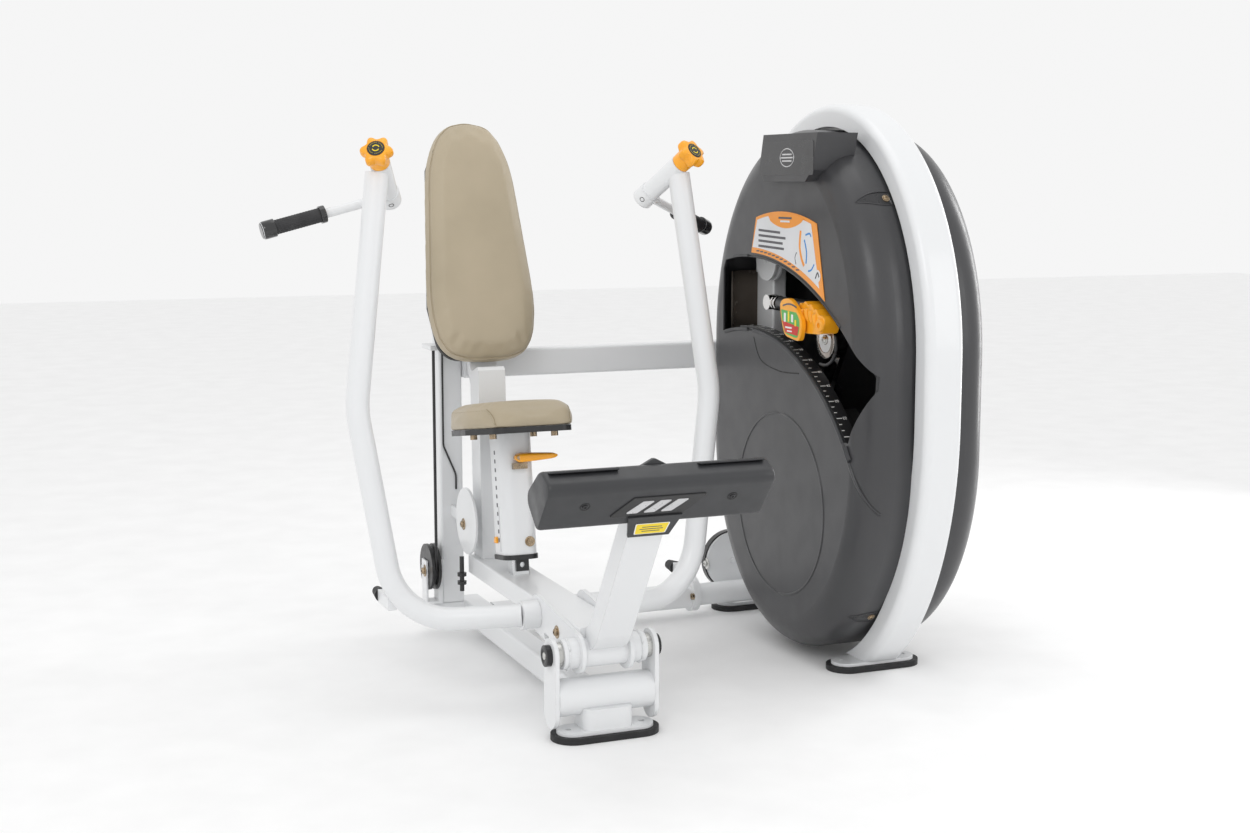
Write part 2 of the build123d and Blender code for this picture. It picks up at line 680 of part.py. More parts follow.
def rocker_tube():
    """Wide flat tube under the seat, with the narrower tube that turns up at the front to the foot bar."""
    low = TUBE_Z1 - TUBE_THICK
    tube = block(-TUBE_HALF, TUBE_HALF, 58, 888, low, TUBE_Z1)
    tube = round_edges(tube, Axis.Y, 5)
    with BuildSketch(Plane.YZ.offset(-NECK_HALF)) as sketch:
        with BuildLine():
            Polyline((120, TUBE_Z1), (40, TUBE_Z1), NECK_TOP, NECK_TOP_OUT, (NECK_HEEL_Y, low),
                     (120, low), close=True)
        make_face()
        fillet(near(sketch, 40, TUBE_Z1), NECK_BEND_R)
        fillet(near(sketch, NECK_HEEL_Y, low), NECK_BEND_R + TUBE_THICK)
    tube += extrude(sketch.sketch, 2 * NECK_HALF)
    tube -= rod_x(-100, 100, PIVOT_Y, PIVOT_Z, HUB_R)
    return tube - rod_x(-100, 100, ARM_AXIS_Y, ARM_AXIS_Z, ARM_SHAFT_R + SHAFT_GAP)


def foot_bar():
    """Foot bar cover: slanted flat front, broad round back, narrow below."""
    with BuildSketch(Plane.YZ.offset(-FOOT_BAR_HALF)) as sketch:
        with BuildLine():
            Polyline(FOOT_BAR_TOP, FOOT_BAR_FRONT, FOOT_BAR_LOW, FOOT_BAR_REAR, close=True)
        make_face()
        fillet(near(sketch, *FOOT_BAR_LOW), 12)
        fillet(near(sketch, *FOOT_BAR_FRONT), 18)
        fillet(near(sketch, *FOOT_BAR_REAR), 24)
        fillet(near(sketch, *FOOT_BAR_TOP), 30)
    return extrude(sketch.sketch, 2 * FOOT_BAR_HALF) - rocker_tube()


def foot_bar_tab():
    """Tab that hangs from the middle of the foot bar, in line with its slanted front."""
    drop = Vector(0, *FOOT_BAR_LOW) - Vector(0, *FOOT_BAR_FRONT)
    down = drop.normalized()
    plane = Plane(origin=(0, *FOOT_BAR_FRONT), x_dir=(1, 0, 0), z_dir=(0, down.Z, -down.Y))
    outline = Polyline((-60, -100), (60, -100), (46, -162), (-46, -162), close=True)
    plate = plane * extrude(make_face(outline), 6)
    return plate - foot_bar() - rocker_tube()


def back_column():
    """Upright of the back pad, standing on the rocker tube."""
    half = BACK_COL_SIZE / 2
    with BuildSketch(Plane.YZ.offset(-half)) as sketch:
        with BuildLine():
            Polyline((BACK_COL_Y - half, TUBE_Z1), (BACK_COL_Y + half, TUBE_Z1),
                     (BACK_COL_Y + half + 16, 690), (966, 800), (1092, 1225), (1040, 1240),
                     (905, 790), (BACK_COL_Y - half + 16, 735), close=True)
        make_face()
    return extrude(sketch.sketch, BACK_COL_SIZE) - pad_envelope()


def pad_plane():
    """Plane of the back pad's front face, x across, y up the pad."""
    lean = math.radians(PAD_LEAN)
    return Plane(origin=(0, PAD_BOTTOM_Y, PAD_BOTTOM_Z), x_dir=(1, 0, 0),
                 z_dir=(0, -math.cos(lean), math.sin(lean)))


def pad_outline(shrink):
    """Egg shaped outline, wide below and narrow above."""
    low_half = 142 - shrink
    top_half = 92 - shrink
    with BuildSketch() as sketch:
        with BuildLine():
            Polyline((-low_half + 16, shrink), (low_half - 16, shrink), (low_half + 6, 150),
                     (top_half + 26, PAD_LEN - 120), (top_half - 20, PAD_LEN - shrink),
                     (-top_half + 20, PAD_LEN - shrink), (-top_half - 26, PAD_LEN - 120),
                     (-low_half - 6, 150), close=True)
        make_face()
        low = sketch.vertices().group_by(Axis.Y)[0]
        fillet(low, 70 - shrink)
        fillet(sketch.vertices().group_by(Axis.Y)[-1], 62 - shrink)
    return sketch.sketch


def back_pad():
    """Upholstered back pad."""
    body = extrude(pad_outline(0), -PAD_THICK)
    return pad_plane() * body


def back_board():
    """Board behind the back pad."""
    body = Pos(0, 0, -PAD_THICK) * extrude(pad_outline(8), -BOARD_THICK)
    return pad_plane() * body


def pad_envelope():
    """Everything from the pad's front face to the board's back."""
    return pad_plane() * extrude(pad_outline(-20), -PAD_THICK - BOARD_THICK)


# ---------------------------------------------------------------- seat
SEAT_TURN = Pos(0, POST_BASE_Y, TUBE_Z1) * Rot(-SEAT_LEAN, 0, 0)


def seat_post():
    """Post that the seat slides on, square tube."""
    half = POST_W / 2
    post = block(-half, half, -half, half, -12, POST_LEN)
    post = round_edges(post, Axis.Z, 4)
    return (SEAT_TURN * post) - rocker_tube()


def seat_rack():
    """Black strip with the seat's height holes."""
    half = POST_W / 2
    rack = block(-14, 18, -half - 6, -half, 6, POST_LEN - 6)
    for i in range(9):
        z = 22 + i * RACK_PITCH
        rack -= rod_y(-half - 6 - OVER, -half + OVER, 2, z, 7)
    return SEAT_TURN * rack


def carriage_profile(shrink):
    """D shaped section, round to the front."""
    half = CARRIAGE_W / 2 - shrink
    depth = CARRIAGE_D / 2 - shrink
    shape = Rectangle(2 * half, 2 * depth)
    front = shape.vertices().group_by(Axis.Y)[0]
    return fillet(front, 30 - shrink)


def seat_carriage():
    """Sliding seat upright, an extrusion with a scale slot in its side."""
    body = Pos(0, 0, CARRIAGE_S0) * extrude(carriage_profile(0), CARRIAGE_S1 - CARRIAGE_S0)
    half = POST_W / 2
    body -= block(-half - 0.4, half + 0.4, -half - 8, half + 0.4, 0, 500)
    body -= block(-60, -CARRIAGE_W / 2 + 5, -2, 6, CARRIAGE_S0 + 8, CARRIAGE_S0 + 120)
    return SEAT_TURN * body


def carriage_cap():
    """Black end cap under the seat upright."""
    half = POST_W / 2
    cap = Pos(0, 0, CARRIAGE_S0 - 12) * extrude(carriage_profile(-3), 12)
    cap -= block(-half - 0.4, half + 0.4, -half - 8, half + 0.4, -100, 500)
    return SEAT_TURN * cap


def seat_outline(grow):
    """Rounded wedge, narrower at the front."""
    with BuildSketch() as sketch:
        with BuildLine():
            Polyline((-98 - grow, -190 - grow), (98 + grow, -190 - grow), (142 + grow, -60),
                     (138 + grow, SEAT_BACK + grow), (-138 - grow, SEAT_BACK + grow), (-142 - grow, -60), close=True)
        make_face()
        fillet(sketch.vertices().group_by(Axis.Y)[0], 36 + grow)
        fillet(sketch.vertices().group_by(Axis.Y)[-1], 60 + grow)
    return sketch.sketch


def seat_base():
    """Base board under the seat pad."""
    return SEAT_TURN * Pos(0, 0, CARRIAGE_S1) * extrude(seat_outline(-4), 14)


def seat_pad():
    """Upholstered seat pad."""
    return SEAT_TURN * Pos(0, 0, CARRIAGE_S1 + 14) * extrude(seat_outline(0), 62)


def seat_bolts():
    """Bolt heads under the seat base."""
    heads = []
    for x in (-80, 80):
        for y in (-100, 60):
            heads.append(Pos(x, y, CARRIAGE_S1 - 6) * Cylinder(9, 12))
    return SEAT_TURN * Compound(children=heads)


def release_lever():
    """Yellow lever that lifts the seat's locking pin."""
    y_face = -CARRIAGE_D / 2
    lever = block(-14, 96, y_face - 34, y_face - 0.5, 280, 300)
    lever = round_edges(lever, Axis.Z, 12)
    lever -= rod_y(y_face - 60, y_face, LEVER_PIN_X, LEVER_PIN_S, LEVER_PIN_R + SHAFT_GAP)
    return SEAT_TURN * lever


def lever_hinge():
    """Pin of the release lever on the front of the seat upright, with the small lug below it."""
    y_face = -CARRIAGE_D / 2
    lug = block(-18, 18, y_face - 16, y_face, 262, 277)
    return SEAT_TURN * (lug + rod_y(y_face - 32, y_face, LEVER_PIN_X, LEVER_PIN_S, LEVER_PIN_R))


def carriage_bolt():
    """Bolt with a washer on the front of the seat upright."""
    washer = rod_y(-CARRIAGE_D / 2 - 2, -CARRIAGE_D / 2, 18, 80, 13)
    head = rod_y(-CARRIAGE_D / 2 - 9, -CARRIAGE_D / 2 - 2, 18, 80, 8)
    return SEAT_TURN * (washer + head)


# ---------------------------------------------------------------- press arms
def arm_shaft():
    """Shaft that ties the two arms and turns in the side plates."""
    return rod_x(-ARM_COLLAR_OUT, ARM_COLLAR_OUT, ARM_AXIS_Y, ARM_AXIS_Z, ARM_SHAFT_R)


def swivel_rod(start, end, radius):
    """Round bar along the handle's swivel axis, measured from the front end of the hub."""
    return rod(along(SWIVEL_FRONT, SWIVEL_DIR, start), along(SWIVEL_FRONT, SWIVEL_DIR, end), radius)


def press_arm():
    """Bent arm tube with its collar below and the handle hub on top (+X side)."""
    start = (ARM_COLLAR_OUT - 4, ARM_AXIS_Y, ARM_AXIS_Z)
    tube = round_tube([start, ARM_CORNER, ARM_ELBOW, ARM_TOP], [150, 260], ARM_TUBE_R)
    tube += rod_x(ARM_COLLAR_IN, ARM_COLLAR_OUT, ARM_AXIS_Y, ARM_AXIS_Z, 34)
    tube -= rod_x(0, ARM_COLLAR_OUT, ARM_AXIS_Y, ARM_AXIS_Z, ARM_SHAFT_R)
    tube += swivel_rod(SWIVEL_HUB_START, SWIVEL_HUB_LEN, SWIVEL_HUB_R)
    return tube - swivel_rod(-OVER, SWIVEL_HUB_LEN + OVER, SWIVEL_PIN_R + SHAFT_GAP)


def arm_bumper():
    """Tapered rubber bumper on a bracket behind the arm (+X side)."""
    cone = Cone(17, 12, 46)
    return Pos(382, 535, 247) * Rot(-90, 0, 0) * cone


def bumper_bracket():
    """Curved bracket between the arm and its bumper (+X side)."""
    plate = block(372, 392, 415, 512, 232, 262)
    start = (ARM_COLLAR_OUT - 4, ARM_AXIS_Y, ARM_AXIS_Z)
    tube = round_tube([start, ARM_CORNER, ARM_ELBOW, ARM_TOP], [150, 260], ARM_TUBE_R)
    return plate - tube


def handle_points(side):
    """Swivel collar centre and the far end of the grip."""
    centre = along(SWIVEL_FRONT, SWIVEL_DIR, SWIVEL_HUB_LEN + RUN_GAP + COLLAR_LEN / 2)
    centre = (side * centre[0], centre[1], centre[2])
    if side < 0:
        return centre, (-620.0, 585.0, 1108.0)
    return centre, (560.0, 742.0, 1100.0)


def handle(side):
    """Swivel collar with its pin and the bar that carries the grip."""
    first = SWIVEL_HUB_LEN + RUN_GAP
    collar = swivel_rod(first, first + COLLAR_LEN, 27)
    pin = swivel_rod(SWIVEL_HUB_START + 6, first + 1, SWIVEL_PIN_R)
    body = collar + pin
    if side < 0:
        body = mirror_x(body)
    centre, end = handle_points(side)
    return body + rod(centre, end, 11) + grip_span(side, -8, 14, GRIP_R + 3)


def grip_span(side, r0, r1, radius):
    """Piece of the handle bar between two distances from its far end."""
    centre, end = handle_points(side)
    back = (Vector(*centre) - Vector(*end)).normalized()
    start = Vector(*end) + back * r0
    stop = Vector(*end) + back * r1
    return rod(tuple(start), tuple(stop), radius)


def grip(side):
    """Rubber grip on the handle bar."""
    return grip_span(side, 14, 14 + GRIP_LEN, GRIP_R) - handle(side)


def star_knob(side):
    """Six lobed knob with a round skirt, on the front end of the handle hub."""
    base = along(SWIVEL_FRONT, SWIVEL_DIR, SWIVEL_HUB_START - RUN_GAP)
    plane = Plane(origin=base, z_dir=tuple(-d for d in SWIVEL_DIR))
    knob = standing(KNOB_SKIRT_R, 0, KNOB_SKIRT) + standing(27, KNOB_SKIRT, KNOB_LEN)
    for i in range(6):
        knob += Rot(0, 0, 60 * i) * Pos(27, 0, 0) * standing(11, KNOB_SKIRT, KNOB_LEN)
    knob = plane * (knob + standing(20, KNOB_LEN, KNOB_LEN + 2))
    return knob if side > 0 else mirror_x(knob)


# ---------------------------------------------------------------- write the pieces
def build():
    """Every piece by its node name."""
    nodes = {
        "front_stand": front_stand(),
        "front_rubber_foot": anchored_rubber(0, FRONT_FOOT_Y),
        "base_spine": base_spine(),
        "rear_cross_tube": rear_cross_tube(),
        "rear_column": rear_column(),
        "upper_cross_beam": upper_beam(),
        "rear_bottom_tube": rear_bottom_tube(),
        "flange_bolts": flange_bolts(),
        "tower_hoop": hoop_solid(),
        "tower_front_foot": tower_foot(TOWER_FOOT_FRONT_Y),
        "tower_rear_foot": tower_foot(TOWER_FOOT_REAR_Y),
        "tower_rubber_feet": tower_rubber_feet(),
        "near_shell": near_shell(),
        "far_shell": shell(1),
        "header_box": header_box(),
        "placard": placard(),
        "dial_scale": dial_scale(),
        "inner_column": inner_column() + inner_pulley_bracket(),
        "inner_pulley": inner_pulley(),
        "lever_axle": lever_axle() + lever_axle_block(),
        "weight_lever": weight_lever(),
        "weight_block": weight_block(),
        "selector_arm": selector_arm(),
        "selector_carriage": selector_carriage(),
        "selector_paddle": selector_paddle(),
        "disc_cover": disc_cover() + disc_axle(),
        "disc_pulley": disc_pulley(),
        "column_pulley": column_pulley(),
        "pulley_yoke": pulley_yoke(),
        "column_cables": Compound(children=[column_cable(), control_cable(), threaded_end()]),
        "pulley_guard": oval_cover() + guard_bracket(),
        "pivot_shaft": pivot_shaft(),
        "pivot_spacers": pivot_spacers(),
        "rocker_hub": rocker_hub(),
        "left_side_plate": side_plate(-1),
        "right_side_plate": side_plate(1),
        "rocker_tube": rocker_tube(),
        "foot_bar": foot_bar(),
        "foot_bar_tab": foot_bar_tab(),
        "back_column": back_column(),
        "back_board": back_board(),
        "back_pad": back_pad(),
        "seat_post": seat_post(),
        "seat_rack": seat_rack(),
        "seat_carriage": seat_carriage(),
        "carriage_cap": carriage_cap(),
        "seat_hardware": Compound(children=[seat_bolts(), lever_hinge(), carriage_bolt()]),
        "seat_base": seat_base(),
        "seat_pad": seat_pad(),
        "release_lever": release_lever(),
        "arm_shaft": arm_shaft(),
        "right_press_arm": press_arm() + bumper_bracket(),
        "left_press_arm": mirror_x(press_arm() + bumper_bracket()),
        "arm_bumpers": Compound(children=[arm_bumper(), mirror_x(arm_bumper())]),
    }
    for side, name in ((-1, "left"), (1, "right")):
        nodes[name + "_handle"] = handle(side)
        nodes[name + "_grip"] = grip(side)
        nodes[name + "_knob"] = star_knob(side)
    return nodes


def main():
    """Write one STEP file for each piece."""
    os.makedirs("parts", exist_ok=True)
    for name, shape in build().items():
        export_step(shape, "parts/" + name + ".step")


main()
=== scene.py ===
import math

import bmesh
import bpy
import numpy as np
from mathutils import Matrix, Vector
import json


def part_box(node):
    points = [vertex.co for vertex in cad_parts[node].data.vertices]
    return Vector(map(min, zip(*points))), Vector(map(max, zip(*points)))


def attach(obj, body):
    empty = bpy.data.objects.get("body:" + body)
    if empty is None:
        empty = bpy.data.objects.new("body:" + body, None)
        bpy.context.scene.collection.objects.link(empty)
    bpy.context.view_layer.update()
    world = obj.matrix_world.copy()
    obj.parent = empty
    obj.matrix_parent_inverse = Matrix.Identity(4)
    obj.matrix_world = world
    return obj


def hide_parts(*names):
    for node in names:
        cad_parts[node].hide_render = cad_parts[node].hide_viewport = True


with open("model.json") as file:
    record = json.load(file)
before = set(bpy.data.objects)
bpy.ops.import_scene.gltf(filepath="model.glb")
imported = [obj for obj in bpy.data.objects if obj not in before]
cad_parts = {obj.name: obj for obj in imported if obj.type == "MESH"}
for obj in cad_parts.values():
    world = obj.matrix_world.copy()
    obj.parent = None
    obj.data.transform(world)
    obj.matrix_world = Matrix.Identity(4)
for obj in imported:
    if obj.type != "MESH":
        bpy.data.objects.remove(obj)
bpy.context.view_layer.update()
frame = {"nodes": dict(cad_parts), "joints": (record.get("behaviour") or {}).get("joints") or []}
NODES = frame["nodes"]
JOINTS = {j["name"]: j for j in frame["joints"]}
X, Y, Z = Vector((1, 0, 0)), Vector((0, 1, 0)), Vector((0, 0, 1))
SIDES = ((-1, "left"), (1, "right"))

CAMERA_PLACE = Vector((-1.371, -3.418, 1.22))
CAMERA_TILT, CAMERA_TURN = math.radians(82.25), math.radians(-22.3)
CAMERA_LENS = 49.87

# the tower's dial: its centre, the rim with the numbers, and the radii of the opening above it
DIAL = Vector((0.84, 0.68, 0.18))
TICK_R, LOWER_R, UPPER_R = 0.6601, 0.656, 0.842


# ------------------------------------------------------------------ camera, floor and light
def camera():
    data = bpy.data.cameras.new("camera")
    data.lens = CAMERA_LENS
    data.sensor_width = 36.0
    data.clip_start = 0.05
    cam = bpy.data.objects.new("camera", data)
    cam.location = CAMERA_PLACE
    cam.rotation_euler = (CAMERA_TILT, 0, CAMERA_TURN)
    bpy.context.scene.collection.objects.link(cam)
    bpy.context.scene.camera = cam


def area_light(name, place, target, size, power):
    data = bpy.data.lights.new(name, "AREA")
    data.shape = "RECTANGLE"
    data.size, data.size_y = size
    data.energy = power
    lamp = bpy.data.objects.new(name, data)
    lamp.location = place
    lamp.rotation_euler = (Vector(target) - Vector(place)).to_track_quat("-Z", "Y").to_euler()
    bpy.context.scene.collection.objects.link(lamp)


def studio():
    scene = bpy.context.scene
    scene.view_settings.view_transform = "Standard"
    world = bpy.data.worlds.new("studio")
    world.use_nodes = True
    scene.world = world
    back = world.node_tree.nodes["Background"]
    back.inputs["Color"].default_value = (1, 1, 1, 1)
    back.inputs["Strength"].default_value = 0.92
    area_light("key_light", (-2.4, -2.6, 3.2), (0.2, 0.3, 0.6), (1.6, 1.6), 26)
    area_light("fill_light", (2.8, -2.8, 1.9), (0.5, 0.3, 0.7), (0.7, 2.2), 10)
    area_light("top_light", (0.3, 0.6, 3.6), (0.3, 0.5, 0.0), (2.4, 1.6), 10)
    area_light("edge_light", (3.4, 0.9, 1.4), (0.9, 0.5, 0.8), (0.6, 2.4), 26)
    bpy.ops.mesh.primitive_plane_add(size=30)
    floor = bpy.context.object
    floor.name = "floor"
    floor.data.materials.append(plain("floor_paper", (0.93, 0.93, 0.93), 0.9, 0.02, 6.0))


# ------------------------------------------------------------------ materials
def graph(name):
    mat = bpy.data.materials.new(name)
    mat.use_nodes = True
    tree = mat.node_tree
    return mat, tree, tree.nodes["Principled BSDF"]


def fill(node, **values):
    """Set a node's properties or, with _ standing for a space, its inputs."""
    for key, value in values.items():
        if hasattr(node, key):
            setattr(node, key, value)
        else:
            node.inputs[key.replace("_", " ")].default_value = value
    return node


def add(tree, kind, **values):
    return fill(tree.nodes.new(kind), **values)


def coords(tree):
    return add(tree, "ShaderNodeTexCoord").outputs["Object"]


def noise(tree, scale, detail=3.0, stretch=None):
    node = add(tree, "ShaderNodeTexNoise", Scale=scale, Detail=detail)
    source = coords(tree)
    if stretch:
        mapping = add(tree, "ShaderNodeMapping", Scale=stretch)
        tree.links.new(source, mapping.inputs["Vector"])
        source = mapping.outputs["Vector"]
    tree.links.new(source, node.inputs["Vector"])
    return node.outputs["Fac"]


def cells(tree, scale, feature="F1"):
    node = add(tree, "ShaderNodeTexVoronoi", feature=feature, Scale=scale)
    tree.links.new(coords(tree), node.inputs["Vector"])
    return node.outputs["Distance"]


def tint(tree, factor, dark, light):
    ramp = add(tree, "ShaderNodeValToRGB")
    for element, position, colour in zip(ramp.color_ramp.elements, (0.3, 0.7), (dark, light)):
        element.position = position
        element.color = (*colour, 1)
    tree.links.new(factor, ramp.inputs["Fac"])
    return ramp.outputs["Color"]


def spread(tree, factor, low, high):
    node = add(tree, "ShaderNodeMapRange", From_Min=0.3, From_Max=0.7, To_Min=low, To_Max=high)
    tree.links.new(factor, node.inputs["Value"])
    return node.outputs["Result"]


def bump(tree, shader, height, strength, distance, before=None):
    node = add(tree, "ShaderNodeBump", Strength=strength, Distance=distance)
    tree.links.new(height, node.inputs["Height"])
    if before is not None:
        tree.links.new(before, node.inputs["Normal"])
    tree.links.new(node.outputs["Normal"], shader.inputs["Normal"])
    return node.outputs["Normal"]


def plain(name, colour, rough, vary=0.06, scale=9.0, metal=0.0, coat=0.0, grain=900.0, grain_depth=0.00004,
        edge=0.0, stretch=None, wear=0.18):
    """Paint, plastic or metal: a drifting tint, uneven gloss, a fine grain and softened edges."""
    mat, tree, shader = graph(name)
    dark = tuple(c * (1 - vary) for c in colour)
    light = tuple(min(1.0, c * (1 + vary)) for c in colour)
    tree.links.new(tint(tree, noise(tree, scale, 4.0), dark, light), shader.inputs["Base Color"])
    gloss = spread(tree, noise(tree, scale * 5, 5.0), rough * (1 - wear), min(1.0, rough * (1 + wear)))
    tree.links.new(gloss, shader.inputs["Roughness"])
    fill(shader, Metallic=metal, Coat_Weight=coat, Coat_Roughness=0.12)
    soft = add(tree, "ShaderNodeBevel", samples=4, Radius=edge).outputs["Normal"] if edge else None
    bump(tree, shader, noise(tree, grain, 2.0, stretch), 0.6, grain_depth, soft)
    return mat


def vinyl():
    """Upholstery vinyl with a fine pebbled grain."""
    mat, tree, shader = graph("tan_vinyl")
    colour = tint(tree, noise(tree, 5.0), (0.385, 0.325, 0.225), (0.445, 0.375, 0.265))
    tree.links.new(colour, shader.inputs["Base Color"])
    pebbles = bump(tree, shader, cells(tree, 620.0, "DISTANCE_TO_EDGE"), 0.5, 0.00012)
    bump(tree, shader, noise(tree, 60.0, 4.0), 0.35, 0.0006, pebbles)
    tree.links.new(spread(tree, noise(tree, 30.0), 0.4, 0.52), shader.inputs["Roughness"])
    fill(shader, Sheen_Weight=0.12)
    return mat


def ribbed_rubber():
    """Grip rubber with moulded chequer ribs."""
    mat, tree, shader = graph("grip_rubber")
    colour = tint(tree, noise(tree, 40.0), (0.012, 0.012, 0.014), (0.028, 0.028, 0.03))
    tree.links.new(colour, shader.inputs["Base Color"])
    bump(tree, shader, cells(tree, 260.0), 0.9, 0.0008)
    tree.links.new(spread(tree, noise(tree, 80.0), 0.42, 0.6), shader.inputs["Roughness"])
    return mat


# colour, roughness, drift of the tint and its scale, metal, coat, scale and depth of the grain, edge radius
WHITE = plain("white_powder_coat", (0.79, 0.8, 0.81), 0.34, 0.006, 3.0, 0.0, 0.3, 1400.0, 0.00001, 0.0022,
    wear=0.04)
CHARCOAL = plain("charcoal_cover", (0.044, 0.044, 0.047), 0.36, 0.1, 3.0, 0.0, 0.12, 1300.0, 0.00007, 0.002)
DARK_COVER = plain("dark_cover", (0.034, 0.035, 0.038), 0.42, 0.1, 5.0, 0.0, 0.05, 1300.0, 0.00007, 0.0015)
HEADER = plain("header_face", (0.028, 0.028, 0.03), 0.3, 0.08, 8.0, 0.0, 0.2, 900.0, 0.00003)
POCKET = plain("pocket_shadow", (0.022, 0.022, 0.024), 0.3, 0.15, 20.0)
# dark glossy lining inside the opening: its lighter brownish-grey tone is painted reflection
LINING_PAINTED_REFLECTION = plain("lining_painted_reflection", (0.2, 0.17, 0.145), 0.24, 0.2, 6.0, 0.3, 0.4, 900.0, 0.00004)
RUBBER = plain("black_rubber", (0.014, 0.014, 0.015), 0.62, 0.25, 12.0, 0.0, 0.0, 500.0, 0.0001, 0.002)
BLACK = plain("black_plastic", (0.018, 0.018, 0.019), 0.38, 0.2, 10.0, 0.0, 0.1, 900.0, 0.00005, 0.0012)
BLACK_GLOSS = plain("black_gloss_cap", (0.012, 0.012, 0.013), 0.16, 0.2, 10.0, 0.0, 0.6, 900.0, 0.00002)
BLACK_METAL = plain("black_steel", (0.03, 0.03, 0.032), 0.34, 0.2, 14.0, 0.55, 0.2, 600.0, 0.00005, 0.0012)
YELLOW = plain("yellow_plastic", (0.95, 0.4, 0.012), 0.34, 0.05, 20.0, 0.0, 0.3, 800.0, 0.00005, 0.0015)
BOARD = plain("painted_board", (0.02, 0.019, 0.018), 0.55, 0.25, 20.0, 0.0, 0.0, 300.0, 0.0002, 0.002,
    (1, 8, 8))
ZINC = plain("zinc_plate", (0.6, 0.6, 0.58), 0.3, 0.1, 40.0, 1.0, 0.0, 1500.0, 0.00003, 0.0006)
CHROME = plain("chrome", (0.74, 0.73, 0.72), 0.1, 0.06, 30.0, 1.0, 0.0, 200.0, 0.00001, 0.0008)
DARK_CHROME = plain("smoked_chrome", (0.34, 0.3, 0.27), 0.16, 0.3, 24.0, 1.0, 0.0, 300.0, 0.00002, 0.0008)
BRONZE = plain("passivated_bolt", (0.4, 0.31, 0.21), 0.26, 0.25, 90.0, 1.0, 0.0, 900.0, 0.00004, 0.0006)
ALUMINIUM = plain("satin_aluminium", (0.72, 0.73, 0.74), 0.32, 0.05, 8.0, 1.0, 0.0, 500.0, 0.00004, 0.001,
    (1, 1, 0.03))
CAST = plain("painted_casting", (0.03, 0.03, 0.03), 0.6, 0.3, 25.0, 0.2, 0.0, 220.0, 0.0008, 0.002)
ORANGE = plain("orange_print", (0.88, 0.33, 0.045), 0.35, 0.03, 12.0)
YELLOW_INK = plain("yellow_print", (0.9, 0.68, 0.02), 0.35, 0.03, 12.0)
PALE = plain("pale_print", (0.72, 0.73, 0.75), 0.35, 0.03, 12.0)
GREY_INK = plain("grey_print", (0.1, 0.1, 0.11), 0.45, 0.1, 30.0)
BLUE_INK = plain("blue_print", (0.03, 0.24, 0.62), 0.4, 0.05, 30.0)
GREEN_INK = plain("green_print", (0.1, 0.45, 0.1), 0.4, 0.05, 30.0)
RED_INK = plain("red_print", (0.62, 0.03, 0.02), 0.4, 0.05, 30.0)
WHITE_INK = plain("white_print", (0.85, 0.85, 0.83), 0.45, 0.04, 40.0)
SILVER = plain("silver_print", (0.62, 0.62, 0.63), 0.32, 0.04, 25.0, 0.5)
SEAM = plain("seam_shadow", (0.018, 0.018, 0.019), 0.6, 0.2, 40.0)
WELD = plain("painted_weld", (0.76, 0.77, 0.78), 0.36, 0.03, 30.0, 0.0, 0.3, 160.0, 0.0009)
THREAD = plain("tan_thread", (0.3, 0.245, 0.155), 0.7, 0.15, 200.0, 0.0, 0.0, 2500.0, 0.0002)
VINYL = vinyl()
GRIP = ribbed_rubber()

NODE_LOOK = {
    WHITE: ["front_stand", "base_spine", "rear_cross_tube", "rear_column", "upper_cross_beam",
            "rear_bottom_tube", "tower_hoop", "tower_front_foot", "tower_rear_foot", "inner_column",
            "disc_cover", "pulley_yoke", "pulley_guard", "inner_pulley", "rocker_hub", "left_side_plate",
            "right_side_plate", "rocker_tube", "back_column", "seat_carriage", "left_press_arm",
            "right_press_arm", "left_handle", "right_handle"],
    CHARCOAL: ["near_shell", "far_shell", "header_box"],
    DARK_COVER: ["foot_bar", "foot_bar_tab"],
    RUBBER: ["front_rubber_foot", "tower_rubber_feet", "arm_bumpers"],
    GRIP: ["left_grip", "right_grip"],
    BLACK: ["dial_scale", "disc_pulley", "column_pulley", "column_cables", "seat_rack", "carriage_cap",
            "seat_base"],
    BLACK_METAL: ["pivot_shaft", "weight_lever"],
    YELLOW: ["selector_carriage", "selector_paddle", "release_lever", "left_knob", "right_knob"],
    BOARD: ["back_board"],
    VINYL: ["back_pad", "seat_pad"],
    ZINC: ["lever_axle", "pivot_spacers", "arm_shaft"],
    CHROME: ["selector_arm"],
    BRONZE: ["flange_bolts", "seat_hardware"],
    ALUMINIUM: ["seat_post"],
    CAST: ["weight_block"],
    ORANGE: ["placard"],
}


def dress_nodes():
    """Give every carried over piece its finish."""
    for look, names in NODE_LOOK.items():
        for name in names:
            slots = NODES[name].material_slots
            if not slots:
                NODES[name].data.materials.append(look)
            for slot in slots:
                slot.material = look


# ------------------------------------------------------------------ mesh helpers
def piece(name, points, faces, look, body, slot=None, bevel=0.0):
    """New smooth shaded piece that rides on a body."""
    mesh = bpy.data.meshes.new(name)
    mesh.from_pydata([tuple(p) for p in points], [], faces)
    mesh.update()
    bm = bmesh.new()
    bm.from_mesh(mesh)
    bmesh.ops.recalc_face_normals(bm, faces=bm.faces)
    bm.to_mesh(mesh)
    bm.free()
    obj = bpy.data.objects.new(name, mesh)
    bpy.context.scene.collection.objects.link(obj)
    mesh.materials.append(look)
    if bevel:
        mod = obj.modifiers.new("edge", "BEVEL")
        mod.width = bevel
        mod.segments = 2
        mod.limit_method = "ANGLE"
        mod.angle_limit = math.radians(35)
    for face in mesh.polygons:
        face.use_smooth = True
    mesh.set_sharp_from_angle(angle=math.radians(40))
    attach(obj, body)
    return obj


def basis(axis):
    """Two directions square to an axis."""
    axis = Vector(axis).normalized()
    helper = Z if abs(axis.z) < 0.9 else X
    first = axis.cross(helper).normalized()
    return axis, first, axis.cross(first).normalized()


